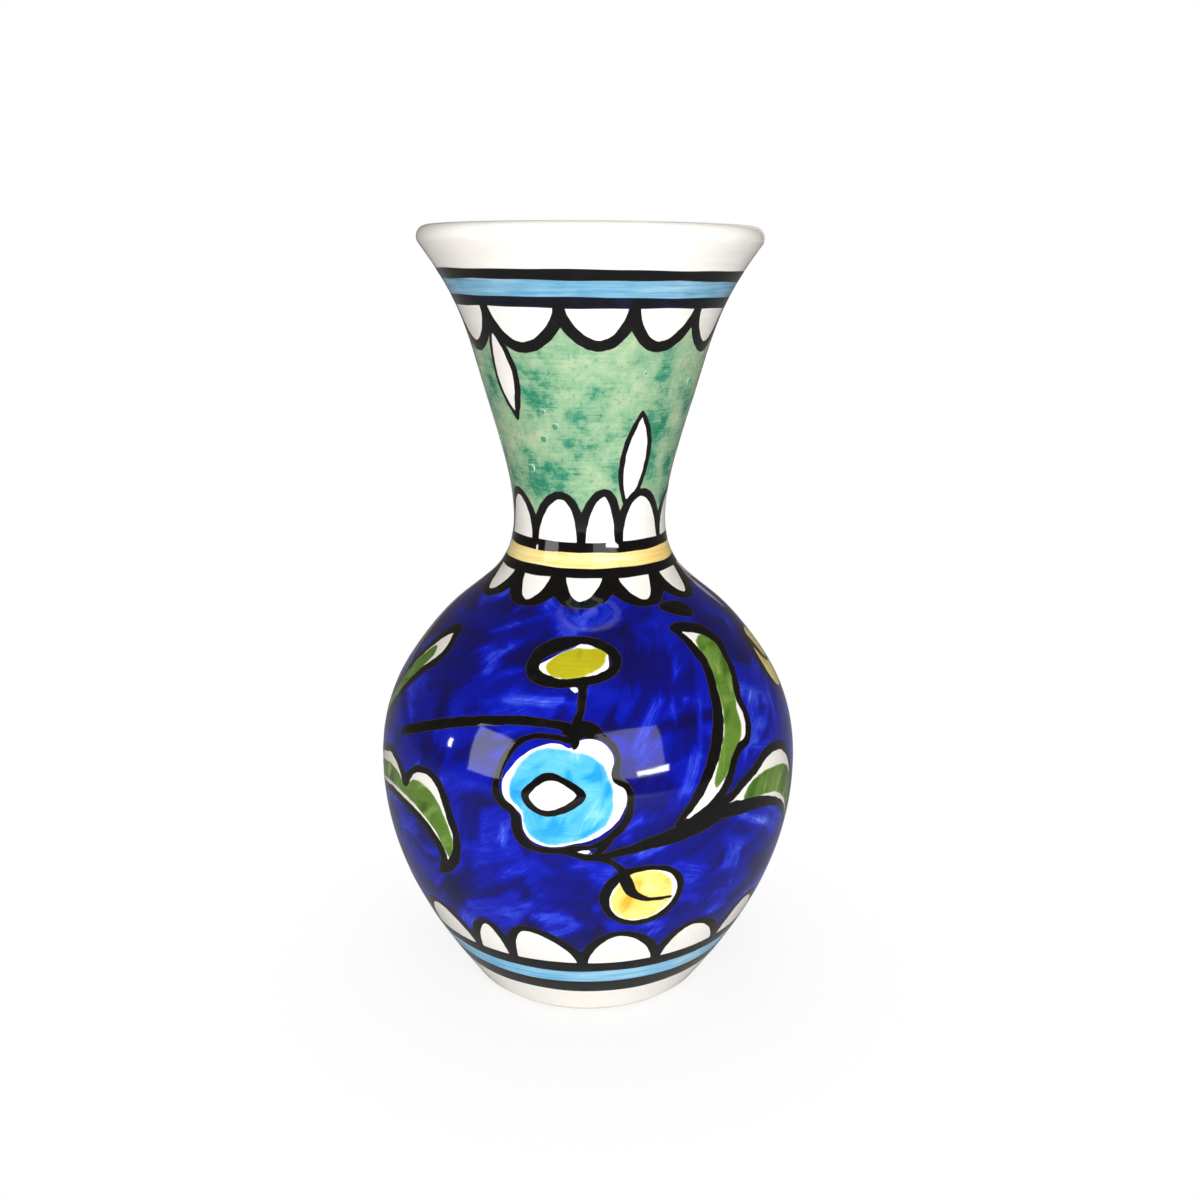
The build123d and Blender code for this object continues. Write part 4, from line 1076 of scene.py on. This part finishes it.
def glossy(name, ripple=1.0, pinholes=0.3):
    """A material with the glaze's gloss and skin. Returns it, its shader and the position."""
    material = bpy.data.materials.new(name)
    material.use_nodes = True
    tree = material.node_tree
    shader = tree.nodes["Principled BSDF"].inputs
    shader["IOR"].default_value = GLAZE_IOR
    metres = node(tree, "ShaderNodeTexCoord").outputs["Object"]
    scaled = {0: metres, "Scale": 1000.0}
    position = node(tree, "ShaderNodeVectorMath", scaled, operation="SCALE").outputs[0]
    surface_skin = place(skin, Position=position, Ripple=ripple, Pinholes=pinholes)
    bump = {"Height": surface_skin["Height"], "Distance": 0.0003, "Strength": 0.25}
    wire(node(tree, "ShaderNodeBump", bump).outputs[0], shader["Normal"])
    wire(surface_skin["Roughness"], shader["Roughness"])
    return material, shader, position


def ramp(value, stops):
    """Colours along a scale: stops are (position, red, green, blue) with colours from 0 to 255."""
    made = node(value.id_data, "ShaderNodeValToRGB", {"Fac": value})
    elements = made.color_ramp.elements
    while len(elements) < len(stops):
        elements.new(0.5)
    for element, (at, *rgb) in zip(elements, stops):
        element.position = at
        element.color = linear(*rgb)
    return made.outputs["Color"]


def blend(factor, first, second):
    """Mix two colours."""
    inputs = {0: factor, 6: first, 7: second}
    return node(factor.id_data, "ShaderNodeMix", inputs, data_type="RGBA").outputs[2]


def stored(position, key):
    """A value that the mesh carries at each point, in the tree that this position is in."""
    return node(position.id_data, "ShaderNodeAttribute", attribute_name=key).outputs["Fac"]


finishes = {}

# %% White glaze and bare clay
material, shader, position = glossy("White tin glaze", 1.0, 0.5)
tone = place(wheel, Position=position, Fineness=0.7, Contrast=0.6)["Tone"]
colour = ramp(tone, [(0.25, 226, 221, 212), (0.55, 236, 233, 228), (0.8, 241, 239, 236)])
wire(colour, shader["Base Color"])
finishes["white_glaze"] = material

material, shader, position = glossy("Bare clay", 3.0, 1.0)
tone = place(sponge, Position=position, Blot_size=3.0, Contrast=1.4)["Tone"]
colour = ramp(tone, [(0.2, 196, 180, 156), (0.55, 214, 201, 180), (0.85, 224, 214, 196)])
wire(colour, shader["Base Color"])
material.node_tree.links.remove(shader["Roughness"].links[0])
shader["Roughness"].default_value = 0.85
finishes["bare_clay"] = material


# %% Black: thick in the middle of a stroke, brown where it thins out; the bubbles get a pale rim, a painted highlight
def black_finish(name, stops, thin_colour):
    """Black enamel with this body, and this colour where the stroke thins out; on the bubbles this
    rim colour is a painted highlight.
    """
    material, shader, position = glossy(name, 0.8, 0.2)
    rim = place(thin_edge, Edge=stored(position, "edge"), Width=0.28, Position=position)["Thin"]
    body = ramp(noise(position, 0.25, 3.0), stops)
    wire(blend(calc("MULTIPLY", rim, 0.7), body, linear(*thin_colour)), shader["Base Color"])
    return material


BLACK_BODY = [(0.3, 3, 3, 4), (0.6, 8, 7, 8), (0.75, 20, 17, 16)]
NAVY_BODY = [(0.3, 4, 5, 10), (0.5, 5, 8, 20), (0.75, 8, 18, 44)]
BUBBLE_BODY = [(0.3, 40, 122, 94), (0.75, 96, 160, 126)]
finishes["black_enamel"] = black_finish("Black enamel", BLACK_BODY, (66, 54, 42))
# The bubbles' pale rim colour (232, 240, 228) is a painted highlight, the glint each burst bubble
# would catch.
finishes["bubble_enamel"] = black_finish("Burst bubble with painted glint", BUBBLE_BODY, (232, 240, 228))
finishes["navy_enamel"] = black_finish("Blue-black enamel", NAVY_BODY, (40, 60, 96))


# %% Sky blue and yellow, streaked by the wheel
def band_finish(name, fineness, contrast, stops):
    """A colour streaked by the wheel, from its thickest tone to its thinnest."""
    material, shader, position = glossy(name)
    tone = place(wheel, Position=position, Fineness=fineness, Contrast=contrast)["Tone"]
    wire(ramp(tone, stops), shader["Base Color"])
    return material


BAND_FINISHES = {
    "sky_enamel": ("Sky enamel", 1.6, 2.6, [
        (0.15, 86, 158, 202), (0.4, 112, 176, 214), (0.65, 138, 192, 220), (0.9, 176, 212, 226)]),
    "sky_enamel_painted_shade": ("Sky enamel with painted shade", 1.6, 2.6, [
        # Deep sky is the sky enamel about a tenth darker: painted shade for the neck band, which the
        # lights reach more strongly.
        (0.15, 78, 140, 176), (0.4, 104, 160, 190), (0.65, 128, 174, 200), (0.9, 160, 194, 208)]),
    "yellow_enamel": ("Yellow band enamel", 0.9, 2.8, [
        (0.1, 224, 178, 84), (0.4, 236, 206, 124), (0.7, 240, 220, 152), (0.95, 244, 232, 186)]),
}  # fmt: skip
finishes |= {key: band_finish(*values) for key, values in BAND_FINISHES.items()}


# %% Brushed colours: thick, middling and thin pigment
BRISTLE = 0.5


def brushed_finish(name, strength, pooling, thin_colour, stops):
    """A colour laid with a brush, from its thickest tone to its thinnest."""
    material, shader, position = glossy(name)
    mesh = {key.title(): stored(position, key) for key in ("tone", "across", "along")}
    tone = place(
        marks, Position=position, Bristle=BRISTLE, Strength=strength, Pooling=pooling, **mesh
    )["Tone"]
    colour = ramp(tone, stops)
    if thin_colour:
        rim = place(thin_edge, Edge=stored(position, "edge"), Width=0.5, Position=position)["Thin"]
        colour = blend(calc("MULTIPLY", rim, 0.6), colour, linear(*thin_colour))
    wire(colour, shader["Base Color"])
    return material


BRUSHED_FINISHES = {
    "cobalt_enamel": ("Cobalt enamel", 0.5, 0.4, None, [
        (0.0, 8, 4, 56), (0.2, 4, 6, 96), (0.46, 2, 12, 138), (0.68, 6, 24, 172),
        (0.86, 44, 66, 200), (1.0, 116, 136, 222)]),
    "petal_enamel": ("Petal enamel", 0.6, 0.6, (176, 218, 238), [
        (0.0, 14, 132, 218), (0.3, 44, 158, 226), (0.6, 92, 184, 230), (1.0, 168, 216, 238)]),
    "leaf_enamel": ("Leaf enamel", 0.5, 0.4, (140, 176, 104), [
        (0.0, 48, 84, 14), (0.4, 76, 112, 32), (0.75, 110, 142, 62), (1.0, 152, 176, 108)]),
    "olive_enamel": ("Olive enamel", 0.4, 0.3, (196, 196, 84), [
        (0.0, 112, 108, 10), (0.35, 160, 152, 18), (0.7, 184, 176, 30), (1.0, 206, 196, 52)]),
    "bud_enamel": ("Yellow bud enamel", 0.5, 0.7, (244, 234, 176), [
        (0.0, 226, 164, 40), (0.3, 234, 198, 84), (0.6, 240, 224, 130), (1.0, 242, 234, 168)]),
}  # fmt: skip
finishes |= {key: brushed_finish(*values) for key, values in BRUSHED_FINISHES.items()}

# %% Sponged green
material, shader, position = glossy("Sponged green enamel", 1.2, 0.8)
spots = place(sponge, Position=position, Blot_size=5.0, Contrast=4.4)
GREENS = [(0.0, 36, 116, 88), (0.22, 66, 138, 108), (0.4, 122, 164, 128)]
GREENS += [(0.7, 146, 178, 142), (1.0, 174, 188, 152)]
specks = calc("MULTIPLY", spots["Specks"], 0.35)
wire(blend(specks, ramp(spots["Tone"], GREENS), linear(44, 112, 84)), shader["Base Color"])
finishes["green_enamel"] = material

# %% Dress every piece
node_slot = {row["node"]: row["material_slot"] for row in frame["record"]["subparts"]}
VARIANTS = {
    "yellow_bud_fills": "bud_enamel",
    "neck_black_lower": "navy_enamel",
    # The neck's sky band takes the darker sky, a painted shade.
    "neck_sky": "sky_enamel_painted_shade",
}
for name, piece in pieces.items():
    piece.data.materials.append(finishes[VARIANTS.get(name, node_slot[name])])
    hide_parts(name)
    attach(piece, "root")
bubbles.data.materials.append(finishes["bubble_enamel"])
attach(bubbles, "root")
print("dressed", len(pieces), "pieces; not replaced:", sorted(set(frame["nodes"]) - set(pieces)))

# %% [markdown]
# ## Floor, light and camera
# The vase stands on a plain white floor that fades into the background. There are two sets of
# soft lights. The first set lights the colours and isn't mirrored. The second is only mirrored,
# as windows would be, because gloss is only seen by what it reflects.

# %% Floor
bpy.ops.mesh.primitive_circle_add(vertices=96, radius=1.6, fill_type="NGON", location=(0, 0, 0))
floor = bpy.context.object
floor.name = "floor"
material = bpy.data.materials.new("Pale floor")
material.use_nodes = True
tree = material.node_tree
shader = tree.nodes["Principled BSDF"]
shader.inputs["Base Color"].default_value = (0.92, 0.92, 0.92, 1)
shader.inputs["Roughness"].default_value = 0.7
shader.inputs["Specular IOR Level"].default_value = 0.1
metres = node(tree, "ShaderNodeTexCoord").outputs["Object"]
far = node(tree, "ShaderNodeVectorMath", {0: metres}, operation="LENGTH").outputs["Value"]
WHITE = (1, 1, 1, 1)
white = node(tree, "ShaderNodeEmission", {"Color": WHITE, "Strength": 1.0}).outputs[0]
dark = node(tree, "ShaderNodeEmission", {"Color": WHITE, "Strength": 0.12}).outputs[0]
rays = node(tree, "ShaderNodeLightPath").outputs
seen = calc("MULTIPLY", between(far, -0.14, 0.10), rays["Is Camera Ray"])
fade = node(tree, "ShaderNodeMixShader", {0: seen, 1: shader.outputs[0], 2: white}).outputs[0]
calm = calc("MULTIPLY", rays["Is Glossy Ray"], 0.7)
fade = node(tree, "ShaderNodeMixShader", {0: calm, 1: fade, 2: dark}).outputs[0]
wire(fade, tree.nodes["Material Output"].inputs["Surface"])
floor.data.materials.append(material)
floor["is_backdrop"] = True

# %% World: white to look at, dim and warm to light with
world = bpy.data.worlds.new("Studio")
bpy.context.scene.world = world
world.use_nodes = True
tree = world.node_tree
tree.nodes["Background"].inputs["Color"].default_value = WHITE
DIM = {"Color": (1.0, 0.92, 0.80, 1), "Strength": 0.15}
backgrounds = {
    0: node(tree, "ShaderNodeLightPath").outputs["Is Camera Ray"],
    1: node(tree, "ShaderNodeBackground", DIM).outputs[0],
    2: tree.nodes["Background"].outputs[0],
}
both = node(tree, "ShaderNodeMixShader", backgrounds).outputs[0]
wire(both, tree.nodes["World Output"].inputs["Surface"])


# %% Lights
def soft_light(name, azimuth, height, distance, width, tall, power):
    """A rectangular light on the floor plan at this azimuth, aimed at the middle of the vase."""
    data = bpy.data.lights.new(name, "AREA")
    data.shape = "RECTANGLE"
    data.size, data.size_y, data.energy = width, tall, power
    lamp = bpy.data.objects.new(name, data)
    turn = math.radians(azimuth)
    lamp.location = (distance * math.sin(turn), -distance * math.cos(turn), height)
    aim = lamp.location.copy()
    aim.z -= 0.1
    lamp.rotation_euler = aim.to_track_quat("Z", "Y").to_euler()
    bpy.context.scene.collection.objects.link(lamp)
    return lamp


for values in (
    ("key_left", -14, 0.32, 0.95, 0.4, 0.5, 6.3),
    ("fill_right", 24, 0.28, 0.95, 0.4, 0.5, 5.2),
    ("overhead", 5, 1.25, 0.45, 0.9, 0.9, 3.4),
    ("fill_behind", 195, 0.45, 1.1, 0.5, 0.5, 2.6),
):
    soft_light(*values).visible_glossy = False
for values in (
    ("window_left", -54, 0.32, 1.1, 0.42, 0.50, 2.6),
    ("window_right", 24, 0.50, 1.1, 0.70, 0.62, 3.2),
    ("window_sill", 34, 0.235, 1.05, 0.32, 0.06, 1.5),
    ("lamp_left", -79, 0.236, 1.1, 0.05, 0.07, 0.28),
    ("window_behind", 170, 0.45, 1.2, 0.60, 0.60, 0.7),
):
    soft_light(*values).visible_diffuse = False

# %% Camera
data = bpy.data.cameras.new("camera")
data.sensor_width = 36
data.lens = 38.17
data.clip_start = 0.01
camera = bpy.data.objects.new("camera", data)
camera.location = (0.0029, -0.330, 0.1895)
camera.rotation_euler = (math.radians(90 - 14.54), 0, 0)
camera.rotation_euler.rotate_axis("Z", math.radians(0.35))
bpy.context.scene.collection.objects.link(camera)
bpy.context.scene.camera = camera

# %% Measure and finish
low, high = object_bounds()
print("visual box in mm:", [round(1000 * v, 1) for v in (*low, *high)])
sizes = {"cad": [list(cad_low), list(cad_high)], "visual": [list(low), list(high)]}
